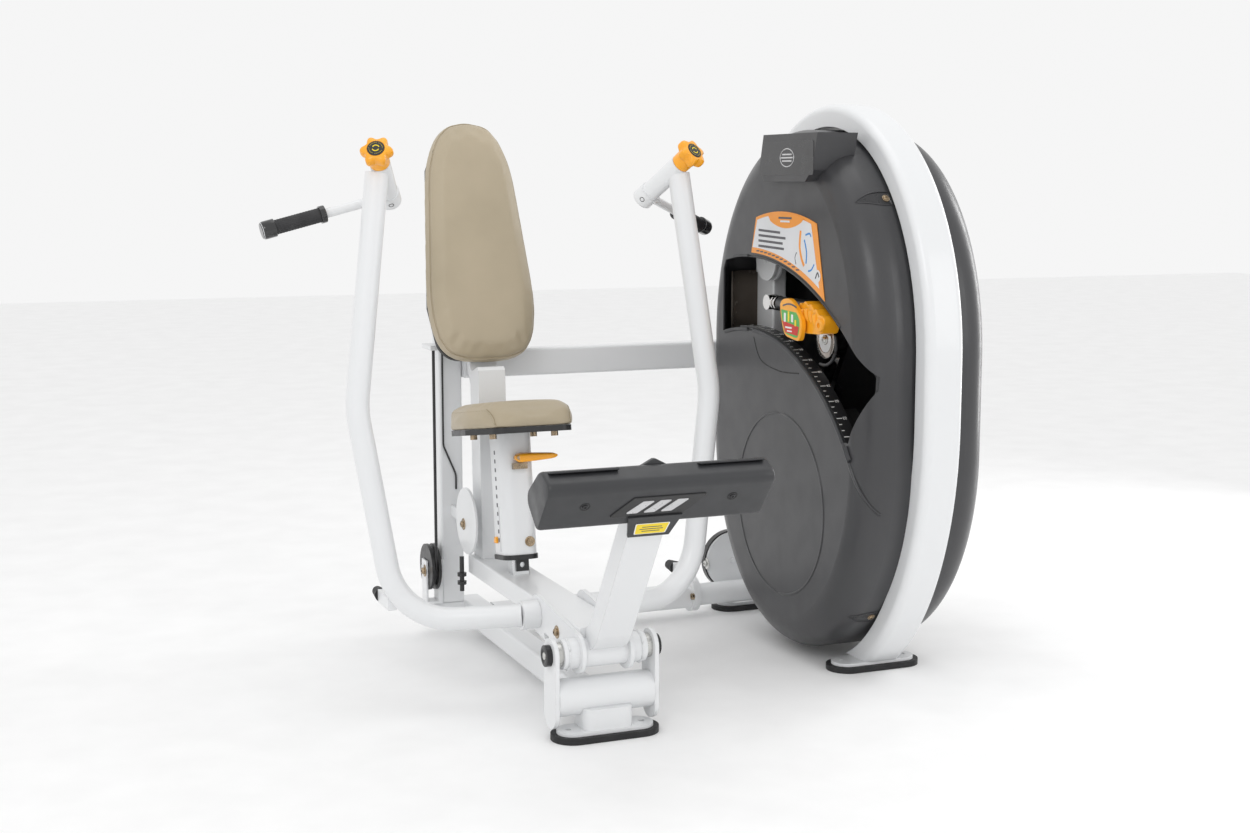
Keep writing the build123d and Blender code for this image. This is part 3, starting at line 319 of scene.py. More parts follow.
def round_points(centre, first, second, radius, count, flat=1.0):
    """Ring of points; radius is a number or changes with the angle, flat squashes it along the first side."""
    ring = []
    for k in range(count):
        turn = 2 * math.pi * k / count
        r = radius(turn) if callable(radius) else radius
        ring.append(centre + first * r * flat * math.cos(turn) + second * r * math.sin(turn))
    return ring


def ring_faces(rings, count, closed=False):
    """Faces between rings of points, which are capped at both ends or joined into a loop."""
    faces = []
    for i in range(rings if closed else rings - 1):
        for k in range(count):
            j, n = (i + 1) % rings, (k + 1) % count
            faces.append((i * count + k, i * count + n, j * count + n, j * count + k))
    if not closed:
        faces.append(tuple(reversed(range(count))))
        faces.append(tuple((rings - 1) * count + k for k in range(count)))
    return faces


def lathe(name, profile, centre, axis, look, body, count=40, lobes=None, **more):
    """Turned piece: profile gives radius, height and how far lobes change the radius by angle."""
    axis, first, second = basis(axis)
    centre = Vector(centre)
    points = []
    for radius, height, *rest in profile:
        sway = rest[0] if rest else 1.0
        size = radius if lobes is None else (lambda turn: radius * (1 + sway * lobes(turn)))
        points += round_points(centre + axis * height, first, second, size, count)
    return piece(name, points, ring_faces(len(profile), count), look, body, **more)


def sweep(name, path, radius, look, body, count=12, closed=False, flat=1.0, normal=None, taper=None,
        **more):
    """Bar of round or flattened section along a list of points."""
    path = [Vector(p) for p in path]
    points = []
    total = len(path)
    for i, p in enumerate(path):
        before = path[i - 1] if i or closed else path[i]
        after = path[(i + 1) % total] if i < total - 1 or closed else path[i]
        along = (after - before).normalized()
        side = Vector(normal) if normal else basis(along)[1]
        side = (side - along * side.dot(along)).normalized()
        r = radius * (taper(i / (total - 1)) if taper else 1.0)
        points += round_points(p, side, along.cross(side), r, count, flat)
    return piece(name, points, ring_faces(total, count, closed), look, body, **more)


def plate(name, outline, origin, across, up, depth, look, body, bevel=0.0006, **more):
    """Flat piece with an outline in its own plane, standing off along the plane's normal."""
    across, up = Vector(across).normalized(), Vector(up).normalized()
    low = [Vector(origin) + across * u + up * v for u, v in outline]
    high = [p + across.cross(up) * depth for p in low]
    faces = ring_faces(2, len(outline))
    return piece(name, low + high, faces, look, body, bevel=bevel, **more)


def facing_side(name, outline, x, depth, look, body, bevel=0.0, slot=None):
    """Flat piece on the tower's side, from an outline of y and z, standing off toward the seat."""
    return plate(name, [(-y, z) for y, z in outline], (x, 0, 0), -Y, Z, depth, look, body, bevel, slot=slot)


def rounded(corners, radius, steps=6):
    """Polygon with rounded corners."""
    result = []
    count = len(corners)
    for i, corner in enumerate(corners):
        p = Vector(corner)
        a = Vector(corners[i - 1]) - p
        b = Vector(corners[(i + 1) % count]) - p
        reach = min(radius / math.tan(a.angle(b) / 2), a.length * 0.48, b.length * 0.48)
        a, b = p + a.normalized() * reach, p + b.normalized() * reach
        for s in range(steps + 1):
            t = s / steps
            q = a * (1 - t) ** 2 + p * 2 * t * (1 - t) + b * t * t
            result.append((q.x, q.y))
    return result


def box_outline(u0, v0, u1, v1, radius):
    return rounded([(u0, v0), (u1, v0), (u1, v1), (u0, v1)], radius)


def bar_outline(width, height, radius):
    return box_outline(-width / 2, -height / 2, width / 2, height / 2, radius)


def bolt(name, place, axis, radius, body, washer=1.7, look=None, height=0.75):
    """Button head screw with a hexagon socket, on a washer."""
    look = look or BRONZE
    base = radius * 0.24 if washer else 0.0
    if washer:
        lathe(name + "_washer", [(radius * 0.5, 0), (radius * washer, 0), (radius * washer, radius * 0.18),
            (radius * washer * 0.96, base), (radius * 0.5, base)], place, axis, look, body, 32,
            slot="bronze_bolt")
    head, socket = radius * height, radius * 0.42

    def hexagon(turn):
        inside = (turn + math.pi / 6) % (math.pi / 3) - math.pi / 6
        return math.cos(math.pi / 6) / math.cos(inside) - 1

    dome = ((1, 0), (1, 0.45), (0.93, 0.75), (0.75, 0.95), (0.55, 1))
    profile = [(radius * r, base + head * h, 0.0) for r, h in dome]
    profile += [(socket, base + head, 1.0), (socket, base + head * 0.35, 1.0)]
    lathe(name, profile, place, axis, look, body, 36, hexagon, slot="bronze_bolt")


def weld(name, centre, axis, radius, body, size):
    """Painted weld bead round a tube, with its ripple."""
    axis, first, second = basis(axis)
    centre = Vector(centre)
    count = max(24, int(radius * 2 * math.pi / 0.0028))
    path = []
    for i in range(count):
        turn = 2 * math.pi * i / count
        r = radius + 0.0006 * math.sin(i * 1.7)
        path.append(centre + first * r * math.cos(turn) + second * r * math.sin(turn))
    ripple = (lambda t: 0.86 + 0.14 * math.sin(t * count * 1.25))
    sweep(name, path, size, WELD, body, 8, True, taper=ripple)


def curve_through(points, steps=8):
    """Smooth open line through a few points."""
    pts = [np.array(p, float) for p in points]
    result = []
    for i in range(len(pts) - 1):
        a = pts[max(i - 1, 0)]
        b, c = pts[i], pts[i + 1]
        d = pts[min(i + 2, len(pts) - 1)]
        for k in range(steps):
            t = k / steps
            result.append(0.5 * ((2 * b) + (c - a) * t + (2 * a - 5 * b + 4 * c - d) * t * t
                + (3 * b - a - 3 * c + d) * t ** 3))
    result.append(pts[-1])
    return [tuple(p) for p in result]


# ------------------------------------------------------------------ soft pads
def frame_of(origin, across, up):
    """Plane of a pad: its origin, and its across, up and outward directions as rows."""
    across, up = Vector(across).normalized(), Vector(up).normalized()
    return np.array(origin), np.array([list(across), list(up), list(across.cross(up))])


def in_plane(place, axes):
    """Coordinates of points in a pad's own plane, as rows of across, up and out."""
    return (np.asarray(place, float) - axes[0]) @ axes[1].T


def out_of_plane(local, axes):
    return np.asarray(local, float) @ axes[1] + axes[0]


def positions(mesh):
    co = np.zeros(len(mesh.vertices) * 3)
    mesh.vertices.foreach_get("co", co)
    return co.reshape(-1, 3)


def place_points(mesh, co):
    mesh.vertices.foreach_set("co", np.asarray(co, np.float32).ravel())
    mesh.update()


def node_points(name):
    return positions(NODES[name].data)


def run_along(path):
    """Distance from the first point to each point of a path."""
    return np.concatenate([[0], np.cumsum(np.linalg.norm(np.diff(path, axis=0), axis=1))])


def spaced(path, run, at):
    return np.stack([np.interp(at, run, path[:, k]) for k in range(path.shape[1])], 1)


def even_loop(face, count):
    """Points of a convex outline put in order and spaced evenly, with the middle that they turn about."""
    middle = (face.min(0) + face.max(0)) / 2
    loop = face[np.argsort(np.arctan2(face[:, 1] - middle[1], face[:, 0] - middle[0]))]
    loop = loop[np.linalg.norm(loop - np.roll(loop, 1, 0), axis=1) > 1e-5]
    closed = np.vstack([loop, loop[:1]])
    run = run_along(closed)
    return spaced(closed, run, np.linspace(0, run[-1], count, endpoint=False)), middle


def outline_of(name, axes, count):
    """Outline of the CAD face that lies in a pad's plane."""
    local = in_plane(node_points(name), axes)
    return even_loop(local[abs(local[:, 2]) < 0.0003][:, :2], count)[0]


def soften(loop, rounds):
    """The outline with its corners eased into smooth curves."""
    for _ in range(rounds):
        loop = (np.roll(loop, 1, 0) + 2 * loop + np.roll(loop, -1, 0)) / 4
    return loop


def inset(loop, amount):
    """The outline moved inward."""
    ahead, behind = np.roll(loop, -1, 0), np.roll(loop, 1, 0)
    along = ahead - behind
    along /= np.linalg.norm(along, axis=1)[:, None]
    return loop + np.stack([-along[:, 1], along[:, 0]], 1) * amount


def pillow(name, loop, axes, profile, crown, body):
    """Closed pad: rings of inset and height, then a crowned face; its back is flat."""
    def ring(points, height):
        return np.column_stack([points, np.full(len(loop), height)])

    rings = [ring(inset(loop, d), h) for d, h in profile]
    middle = loop.mean(0)
    last, top = inset(loop, profile[-1][0]), profile[-1][1]
    rings += [ring(middle + (last - middle) * share, top + crown * (1 - share ** 2))
        for share in (0.85, 0.68, 0.5, 0.32, 0.16, 0.06)]
    points = out_of_plane(np.vstack(rings), axes)
    return piece(name, points, ring_faces(len(rings), len(loop)), VINYL, body)


def baked(obj):
    """Apply every modifier on a piece."""
    graph_now = bpy.context.evaluated_depsgraph_get()
    mesh = bpy.data.meshes.new_from_object(obj.evaluated_get(graph_now))
    obj.modifiers.clear()
    obj.data = mesh


def inflate(obj, axes, hold_below, voxel, cap):
    """Blow the foam up under its cover with a short cloth run, then smooth and refine it."""
    mod = obj.modifiers.new("skin", "REMESH")
    mod.mode, mod.voxel_size = "VOXEL", voxel
    baked(obj)
    rest = positions(obj.data)
    group = obj.vertex_groups.new(name="held")
    level = in_plane(rest, axes)[:, 2]
    group.add([int(i) for i in np.nonzero(level < hold_below)[0]], 1.0, "REPLACE")
    cloth = obj.modifiers.new("cloth", "CLOTH")
    cloth.settings.use_pressure = True
    cloth.settings.uniform_pressure_force = 4.0
    cloth.settings.quality = 4
    cloth.settings.vertex_group_mass = "held"
    cloth.settings.effector_weights.gravity = 0
    scene = bpy.context.scene
    for step in range(1, 21):
        scene.frame_set(step)
    now = bpy.context.evaluated_depsgraph_get()
    swollen = bpy.data.meshes.new_from_object(obj.evaluated_get(now))
    moved = positions(swollen) - rest
    size = np.linalg.norm(moved, axis=1)
    moved *= np.minimum(1.0, cap / np.maximum(size, 1e-9))[:, None]
    obj.modifiers.clear()
    place_points(obj.data, rest + moved)
    scene.frame_set(1)
    calm = obj.modifiers.new("calm", "SMOOTH")
    calm.factor, calm.iterations = 0.5, 12
    fine = obj.modifiers.new("fine", "SUBSURF")
    fine.levels = fine.render_levels = 1
    baked(obj)
    for face in obj.data.polygons:
        face.use_smooth = True


def groove(obj, distance, depth, width):
    """Pull the cover in along a seam; distance says how far each point is from it."""
    normals = np.zeros(len(obj.data.vertices) * 3)
    obj.data.vertices.foreach_get("normal", normals)
    pull = depth * np.exp(-(distance / width) ** 2)
    place_points(obj.data, positions(obj.data) - normals.reshape(-1, 3) * pull[:, None])


def path_distance(co, path):
    """Distance of each point from the nearest stretch of a path."""
    best = np.full(len(co), 1e9)
    for a, b in zip(path[:-1], path[1:]):
        a, b = np.array(a), np.array(b)
        d = b - a
        t = np.clip(((co - a) @ d) / max(d @ d, 1e-12), 0, 1)
        best = np.minimum(best, np.linalg.norm(co - (a + t[:, None] * d), axis=1))
    return best


def even_path(path, gap):
    path = np.array(path, float)
    run = run_along(path)
    return spaced(path, run, np.arange(0, run[-1], gap))


def snapped(obj, path, lift):
    """Points of a path moved onto a pad's surface."""
    found = [obj.closest_point_on_mesh(Vector(p)) for p in path]
    return [place + normal * lift for _, place, normal, _ in found]


def stitches(name, pad, path, body):
    """Row of short thread stitches along a seam, half sunk in the cover."""
    track = snapped(pad, even_path(path, 0.0016), 0.0)
    points, faces = [], []
    for i in range(0, len(track) - 3, 4):
        a, b = track[i], track[i + 2]
        _, first, second = basis((b - a).normalized())
        base = len(points)
        for t, r in ((0.0, 0.0002), (0.3, 0.00055), (0.7, 0.00055), (1.0, 0.0002)):
            points += round_points(a.lerp(b, t), first, second, r, 6)
        faces += [tuple(base + v for v in f) for f in ring_faces(4, 6)]
    piece(name, points, faces, THREAD, body)


def back_pad():
    """Tapered back cushion: its cover with a seam and piping round the edge."""
    lean = math.radians(16.5)
    up = Vector((0, math.sin(lean), math.cos(lean)))
    probe = node_points("back_pad")
    bottom = probe[probe[:, 2].argmin()]
    corner = Vector((0, bottom[1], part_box("back_pad")[0].z))
    out = X.cross(up)
    shift = max((Vector(p) - corner).dot(out) for p in probe[::7])
    axes = frame_of(corner + out * shift, X, up)
    back = in_plane(probe, axes)[:, 2].min()
    loop = soften(outline_of("back_pad", axes, 160), 26)
    loop = loop.mean(0) + (loop - loop.mean(0)) * 1.012
    profile = [(0.012, back), (0.004, back), (0.0015, back + 0.004), (0.001, -0.03), (0.003, -0.021),
        (0.008, -0.0125), (0.016, -0.0075), (0.028, -0.005)]
    pad = pillow("back_pad_cover", loop, axes, profile, 0.003, "rocker")
    inflate(pad, axes, back + 0.012, 0.005, 0.006)
    local = in_plane(positions(pad.data), axes)
    local[:, 2] = np.maximum(local[:, 2], back + 0.0002)
    place_points(pad.data, out_of_plane(local, axes))
    level = -0.0245
    edge = np.where(path_distance(np.column_stack([local[:, :2], 0 * local[:, 0]]),
        [(*p, 0) for p in np.vstack([loop, loop[:1]])]) < 0.02, 0.0, 1.0)
    groove(pad, abs(local[:, 2] - level) + edge, 0.0026, 0.0022)
    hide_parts("back_pad")
    ring = out_of_plane(np.column_stack([inset(loop, 0.001), np.full(len(loop), level)]), axes)
    sweep("back_pad_piping", snapped(pad, ring, 0.0004), 0.0013, VINYL, "rocker", 8, True)


SEAT_LEAN = math.radians(8.5)


def seat_at(x, y, s):
    """Point in the seat's own frame: x across, y to the back, s up the post."""
    c, n = math.cos(SEAT_LEAN), math.sin(SEAT_LEAN)
    return Vector((x, 0.628 + y * c + s * n, 0.243 - y * n + s * c))


SEAT_BACKWARD = seat_at(0, 1, 0) - seat_at(0, 0, 0)
SEAT_UP = seat_at(0, 0, 1) - seat_at(0, 0, 0)


def seat_pad():
    """Seat cushion: its cover with a steeper front, a stitched seam and stitched front corners."""
    axes = frame_of(seat_at(0, 0, 0.366), X, SEAT_BACKWARD)
    height = in_plane(node_points("seat_pad"), axes)[:, 2].max()
    loop = soften(outline_of("seat_pad", axes, 120), 5)
    profile = [(0.012, 0.0), (0.004, 0.0), (0.001, 0.004), (0.001, height - 0.02), (0.004, height - 0.0125),
        (0.01, height - 0.008), (0.02, height - 0.0055), (0.034, height - 0.004)]
    pad = pillow("seat_pad_cover", loop, axes, profile, 0.004, "seat")
    inflate(pad, axes, 0.01, 0.0045, 0.005)
    local = in_plane(positions(pad.data), axes)
    local[:, 2] = np.maximum(local[:, 2], 0.0002)
    front = np.clip((-0.12 - local[:, 1]) / 0.075, 0, 1)
    front = front * front * (3 - 2 * front)
    high = np.clip(local[:, 2] / height, 0, 1)
    local[:, 2] -= 0.012 * front * high ** 2
    local[:, 1] += 0.016 * front * high ** 1.5
    place_points(pad.data, out_of_plane(local, axes))
    level = height - 0.017
    ring = np.column_stack([loop, np.full(len(loop), level)])
    keep = loop[:, 1] > -0.15
    ends = np.nonzero(~keep)[0]
    if len(ends):
        ring = np.roll(ring, -ends[0], axis=0)
        ring = ring[np.roll(keep, -ends[0])]
    side = 1 if ring[0][0] > 0 else -1
    first = [(side * 0.104, -0.186, 0.002), (side * 0.116, -0.168, level * 0.5)]
    last = [(-u, v, w) for u, v, w in reversed(first)]
    seam = out_of_plane(np.vstack([first, ring, last]), axes)
    groove(pad, path_distance(positions(pad.data), seam), 0.0022, 0.0022)
    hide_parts("seat_pad")
    stitches("seat_pad_stitching", pad, seam + np.array(SEAT_UP) * 0.003, "seat")
    for side, name in SIDES:
        path = [seat_at(side * 0.1, -0.181, 0.372), seat_at(side * 0.106, -0.176, 0.392),
            seat_at(side * 0.112, -0.16, 0.409), seat_at(side * 0.114, -0.14, 0.424)]
        track = snapped(pad, even_path([tuple(p) for p in path], 0.004), 0.0002)
        sweep("seat_corner_seam_" + name, track, 0.0011, THREAD, "seat", 6)


# ------------------------------------------------------------------ foot bar
def foot_bar():
    """Moulded cover: the CAD section run along X with rounded ends, rails, a badge, a tag and two screws."""
    co = node_points("foot_bar")
    low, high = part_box("foot_bar")
    half = high.x
    loop, middle = even_loop(co[abs(co[:, 0] - low.x) < 0.0003][:, 1:], 96)
    ledge = np.array([middle[0] - 0.046, high.z - 0.019])
    groove_half, groove_depth = 0.0045, 0.0022
    grooved = np.linalg.norm(loop - ledge, axis=1) < groove_half
    ends = ((0.0, 0.93), (0.001, 0.955), (0.003, 0.98), (0.007, 1.0))
    stations = [(-half + x, scale) for x, scale in ends]
    stations += [(-half + 0.007 + (2 * half - 0.014) * i / 24, 1.0) for i in range(1, 24)]
    stations += [(half - x, scale) for x, scale in reversed(ends)]
    points = []
    for x, scale in stations:
        for p, cut in zip(loop, grooved):
            q = middle + (p - middle) * scale
            if cut and scale == 1.0:
                q = q - (p - middle) / np.linalg.norm(p - middle) * groove_depth
            points.append((x, q[0], q[1]))
    faces = ring_faces(len(stations), len(loop))
    cover = piece("foot_bar_cover", points, faces, DARK_COVER, "rocker", "foot_cover")
    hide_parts("foot_bar")
    top, drop = Vector((0, -0.299, 0.625)), Vector((0, 0.635, -0.7725))
    face_out = Vector((0, -0.7725, -0.635))

    def on_front(x, s, lift=0.0):
        return top + X * x + drop * s + face_out * lift

    def on_face(name, outline, place, depth, look, bevel, slot=None):
        plate("foot_bar_" + name, outline, place, X, -drop, depth, look, "rocker", bevel, slot=slot)

    for side, name in SIDES:
        spot = on_front(side * 0.162, 0.06)
        lathe("foot_bar_pocket_" + name, [(0.0115, -0.001), (0.0115, 0.0006), (0.0095, 0.001),
            (0.008, 0.0004), (0.0075, -0.001)], spot, face_out, SEAM, "rocker", 32, slot="foot_cover")
        bolt("foot_bar_screw_" + name, spot, face_out, 0.0062, "rocker", 0, BLACK_METAL, 0.4)
        x0, x1 = sorted((side * 0.088, side * (half - 0.012)))
        plate("foot_bar_rail_" + name, box_outline(x0, 0.0, x1, 0.0045, 0.0018),
            (0, -0.2405, high.z - 0.0055), X, Vector((0, 0.18, 1)), 0.022, DARK_COVER, "rocker", 0.0015,
            slot="foot_cover")
    base = on_front(0.0, 0.1)
    badge = rounded([(-0.105, 0.0), (-0.06, 0.058), (0.105, 0.058), (0.062, 0.0)], 0.007)
    on_face("badge", badge, base - face_out * 0.001, 0.0035, BLACK, 0.0012)
    for i in range(3):
        u0 = -0.07 + 0.038 * i
        bar = rounded([(u0, 0.012), (u0 + 0.026, 0.012), (u0 + 0.058, 0.047), (u0 + 0.032, 0.047)], 0.003)
        on_face("badge_bar_%d" % i, bar, base + face_out * 0.002, 0.0016, SILVER, 0.0004, "zinc")
    tag = rounded([(-0.033, 0.0), (0.033, 0.0), (0.036, 0.03), (-0.036, 0.03)], 0.003)
    rim = [(u * 1.07, -0.0015 + v * 1.1) for u, v in tag]
    place = on_front(0.0, 0.152, 0.006)
    on_face("tag_rim", rim, place, 0.0004, WHITE_INK, 0.0001)
    on_face("tag", tag, place + face_out * 0.0002, 0.0006, YELLOW_INK, 0.0002)
    for i, (v, wide) in enumerate(((0.02, 0.044), (0.0135, 0.052), (0.007, 0.04))):
        line = box_outline(-wide / 2, v, wide / 2, v + 0.0022, 0.0005)
        on_face("tag_line_%d" % i, line, place + face_out * 0.0007, 0.0003, GREY_INK, 0.0)
    peak = [(-0.036, 0), (-0.003, 0.017), (0.003, 0.017), (0.036, 0)]
    plate("foot_bar_peak", peak, (0, -0.222, high.z - 0.006), X, Z, 0.012, DARK_COVER, "rocker", 0.0015,
        slot="black_plastic")


# ------------------------------------------------------------------ knobs and grips
def hub_axis(name):
    """Place and rearward direction of the hub that a star knob turns on."""
    joint = JOINTS[name + "_knob_turn"]
    axis = Vector(joint["axis"]).normalized()
    return Vector(joint["pos_m"]), (-axis if axis.y < 0 else axis)


def knobs():
    """Star knobs: a skirt, a six lobed head and a cap with two turning arrows inside a ring of dots."""
    for _, name in SIDES:
        start, axis = hub_axis(name)
        out = -axis
        reach = [(Vector(p) - start).dot(out) for p in node_points(name + "_knob")]
        origin = start + out * min(reach)
        length = max(reach) - min(reach) - 0.002
        body, slot = name + "_turn_knob", "yellow_plastic"
        skirt = [(0.0, 0.0), (0.0225, 0.0), (0.0238, 0.0012), (0.0242, 0.016), (0.025, 0.0285),
            (0.0, 0.0285)]
        lathe(name + "_knob_skirt", skirt, origin, out, YELLOW, body, 72, slot=slot)
        head = [(0.0, 0.027, 0.0), (0.024, 0.027, 0.0), (0.0285, 0.0285, 0.7), (0.032, 0.032, 1.0),
            (0.033, 0.036, 1.05), (0.033, length - 0.009, 1.05), (0.0315, length - 0.004, 1.0),
            (0.028, length - 0.001, 0.7), (0.0215, length, 0.15), (0.0205, length, 0.0),
            (0.02, length - 0.001, 0.0), (0.0, length - 0.001, 0.0)]
        star = (lambda turn: 0.145 * math.cos(6 * turn))
        knob = lathe(name + "_knob_head", head, origin, out, YELLOW, body, 144, star, slot=slot)
        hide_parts(name + "_knob")
        face = origin + out * (length - 0.0012)
        lathe(name + "_knob_cap", [(0.0, 0.0), (0.0196, 0.0), (0.0196, 0.0014), (0.0188, 0.0022),
            (0.0, 0.0026)], face, out, BLACK, body, 64)
        _, first, second = basis(out)

        def polar(radius, turn):
            return (radius * math.cos(turn), radius * math.sin(turn))

        def mark(kind, k, outline):
            plate("%s_knob_%s_%d" % (name, kind, k), outline, face + out * 0.0021, first, second, 0.0006,
                YELLOW_INK, body, 0.0, slot=slot)

        for k in range(2):
            arc = [polar(0.0088, math.pi * k + math.radians(20 + 120 * i / 14)) for i in range(15)]
            mark("arc", k, arc + [(u * 0.74, v * 0.74) for u, v in reversed(arc)])
            turn = math.pi * k + math.radians(140)
            mark("arrow", k, [polar(0.0076, turn + 0.42), polar(0.0058, turn), polar(0.0096, turn)])
        for i in range(28):
            if i % 7 == 6:
                continue
            u, v = polar(0.015, 2 * math.pi * i / 28)
            dot = [(0.0, 0.0), (0.0008, 0.0), (0.0007, 0.0007), (0.0, 0.0008)]
            place = face + out * 0.0019 + first * u + second * v
            lathe("%s_knob_dot_%d" % (name, i), dot, place, out, YELLOW_INK, body, 6, slot=slot)


def bar_line(name):
    """Ends of a grip's axis, from the CAD grip; the first is the outer one."""
    co = node_points(name + "_grip")
    middle = co.mean(0)
    along = np.linalg.svd(co - middle, full_matrices=False)[2][0]
    t = (co - middle) @ along
    return sorted((Vector(middle + along * t.min()), Vector(middle + along * t.max())),
        key=lambda p: -abs(p.x))


def grips():
    """Ribbed grip sleeves with end caps and rings, and the collar of each handle with its set screw."""
    for _, name in SIDES:
        body = name + "_swivel"
        outer, inner = bar_line(name)
        back = (inner - outer).normalized()
        length = (inner - outer).length
        rings = 34
        profile = [(0.0115, 0.0005), (0.016, 0.0005), (0.0168, 0.0015)]
        profile += [(0.017 if i % 2 else 0.0164, 0.002 + (length - 0.004) * i / (rings - 1))
            for i in range(rings)]
        profile += [(0.0168, length - 0.001), (0.0115, length - 0.0002)]
        flute = (lambda turn: 0.018 * math.cos(24 * turn))
        sleeve = lathe(name + "_grip_sleeve", profile, outer, back, GRIP, body, 96, flute)
        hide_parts(name + "_grip")
        lathe(name + "_grip_cap", [(0.0, -0.0075), (0.0175, -0.0075), (0.0203, -0.0045), (0.0212, 0.0),
            (0.0212, 0.0245), (0.0203, 0.0252), (0.0172, 0.0252)], outer - back * 0.016, back, BLACK_GLOSS,
            body, 64)
        lathe(name + "_grip_ring", [(0.0172, 0.0), (0.0203, 0.0), (0.0205, 0.002), (0.0205, 0.011),
            (0.02, 0.013), (0.0115, 0.013)], inner - back * 0.001, back, BLACK_GLOSS, body, 64)
        start, axis = hub_axis(name)
        near = max((Vector(p) - start).dot(axis) for p in node_points(name + "_handle")
            if (Vector(p) - start).cross(axis).length < 0.0275) - 0.034
        middle = start + axis * (near + 0.017)
        out = CAMERA_PLACE - middle
        out = (out - axis * out.dot(axis)).normalized()
        lathe(name + "_collar_screw_hole", [(0.0, -0.004), (0.0062, -0.004), (0.0062, 0.0004),
            (0.0052, 0.0008), (0.0048, -0.003), (0.0, -0.003)], middle + out * 0.027, out, SEAM, body, 24,
            slot="black_plastic")
        lathe(name + "_collar_screw", [(0.0, -0.002), (0.0042, -0.002), (0.0042, -0.0004), (0.0, -0.0002)],
            middle + out * 0.027, out, ZINC, body, 6)
        for h in (near - 0.0006, near + 0.0345):
            edge = [(0.024, -0.0012), (0.0262, -0.0012), (0.0272, 0.0), (0.0262, 0.0012), (0.024, 0.0012)]
            place = start + axis * h
            lathe("%s_collar_edge_%d" % (name, int(h * 1000)), edge, place, axis, WHITE, body, 64)


# ------------------------------------------------------------------ tower shells
def dial_spot(radius, degrees, x=0.0):
    """Place about the dial centre, measured from straight up toward the front."""
    turn = math.radians(degrees)
    return Vector((x, DIAL.y - radius * math.sin(turn), DIAL.z + radius * math.cos(turn)))


def shell_bead(name, points, radius, look, flat=1.6, closed=False, sink=0.0):
    """Bead along places on the near cover's side; places past its edge are left out."""
    track = []
    for y, z in points:
        hit, place, normal, _ = NODES["near_shell"].ray_cast(Vector((0.55, y, z)), X)
        if hit and normal.x < -0.3:
            track.append(place - X * sink)
    if len(track) >= 4:
        sweep(name, track, radius, look, "frame", 8, closed, flat, Y, slot="dark_cover")


def sheet(name, points, columns, look, thickness):
    """Thin moulded sheet on the tower, from rows of points."""
    faces = [(i * columns + k, i * columns + k + 1, (i + 1) * columns + k + 1, (i + 1) * columns + k)
        for i in range(len(points) // columns - 1) for k in range(columns - 1)]
    thin = piece(name, points, faces, look, "frame", "dark_cover")
    thin.modifiers.new("thick", "SOLIDIFY").thickness = thickness


def tower_lines():
    """Mould lines of the near shell: the lip under the dial, a joint and the round boss."""
    lip = [dial_spot(0.652, 82 - 44 * i / 32).yz for i in range(33)]
    shell_bead("shell_dial_lip", lip, 0.0035, CHARCOAL)
    seam = curve_through([(0.656, 0.813), (0.614, 0.757), (0.511, 0.738), (0.403, 0.742)])
    shell_bead("shell_joint", seam, 0.0011, SEAM)
    boss_y, boss_z, boss_r = 0.5, 0.395, 0.235
    ring = [(boss_y + boss_r * math.cos(math.radians(a)), boss_z + boss_r * math.sin(math.radians(a)))
        for a in range(0, 360, 5)]
    shell_bead("shell_round_boss", ring, 0.0022, CHARCOAL, closed=True)


def screw_pockets():
    """Leaf shaped recesses with a screw, on the front rim of the near cover at the top and at the foot."""
    places = (("upper", Vector((0.7, 0.187, 1.1765)), Vector((0, 0.64, 0.77)), Vector((0, -0.77, 0.64))),
        ("lower", Vector((0.714, 0.216, 0.1535)), Vector((0, 0.68, -0.73)), Vector((0, -0.73, -0.68))))

    def draped(point, out, lift):
        hit, place, normal, _ = NODES["near_shell"].ray_cast(point + out * 0.06, -out)
        return place + normal * lift if hit else point

    for name, tip, up, out in places:
        reach = 0.788 - tip.x
        spine = [(t / 12, 0.02 * math.sin(min(1.0, t / 12 * 1.25) * math.pi / 2) ** 0.8) for t in range(13)]
        top = [tip + X * reach * t + up * w for t, w in spine]
        low = [tip + X * reach * t - up * w * 0.9 for t, w in spine]
        lip = [draped(p, out, 0.0008) for p in low[::-1] + top[1:]]
        sweep("shell_pocket_lip_" + name, lip, 0.0016, CHARCOAL, "frame", 8)
        across = 7
        floor = [draped(b.lerp(a, k / (across - 1)), out, 0.0006) for a, b in zip(top, low)
            for k in range(across)]
        sheet("shell_pocket_" + name, floor, across, POCKET, 0.0006)
        spot = draped(tip + X * (reach - 0.012), out, 0.0012)
        bolt("shell_screw_" + name, spot, out, 0.0065, "frame", 1.5, BRONZE, 0.4)


def dial_marks():
    """Ticks and small plain numbers on the curved rim under the selector."""
    face_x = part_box("dial_scale")[0].x
    for i in range(34):
        degrees = -3 + 1.58 * i
        out = dial_spot(1, degrees) - dial_spot(0, degrees)
        along = X.cross(out)
        spot = dial_spot(TICK_R, degrees, face_x)
        numbered = i % 3 == 0
        half, reach = 0.0011, 0.015 if numbered else 0.008
        tick = [(0.0, -half), (reach, -half), (reach, half), (0.0, half)]
        plate("dial_tick_%d" % i, tick, spot + X * 0.0015, X, along, 0.0005, WHITE_INK, "frame", 0.0)
        if numbered:
            text = bpy.data.curves.new("dial_number_%d" % i, "FONT")
            text.body = str(5 + 5 * (i // 3))
            text.size = 0.0115
            text.extrude = 0.0002
            text.align_x, text.align_y = "LEFT", "CENTER"
            text.materials.append(WHITE_INK)
            label = bpy.data.objects.new("dial_number_%d" % i, text)
            bpy.context.scene.collection.objects.link(label)
            turned = Matrix((X, along, X.cross(along))).transposed().to_4x4()
            label.matrix_world = Matrix.Translation(spot + X * 0.0175 + out * 0.0004) @ turned
            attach(label, "frame")


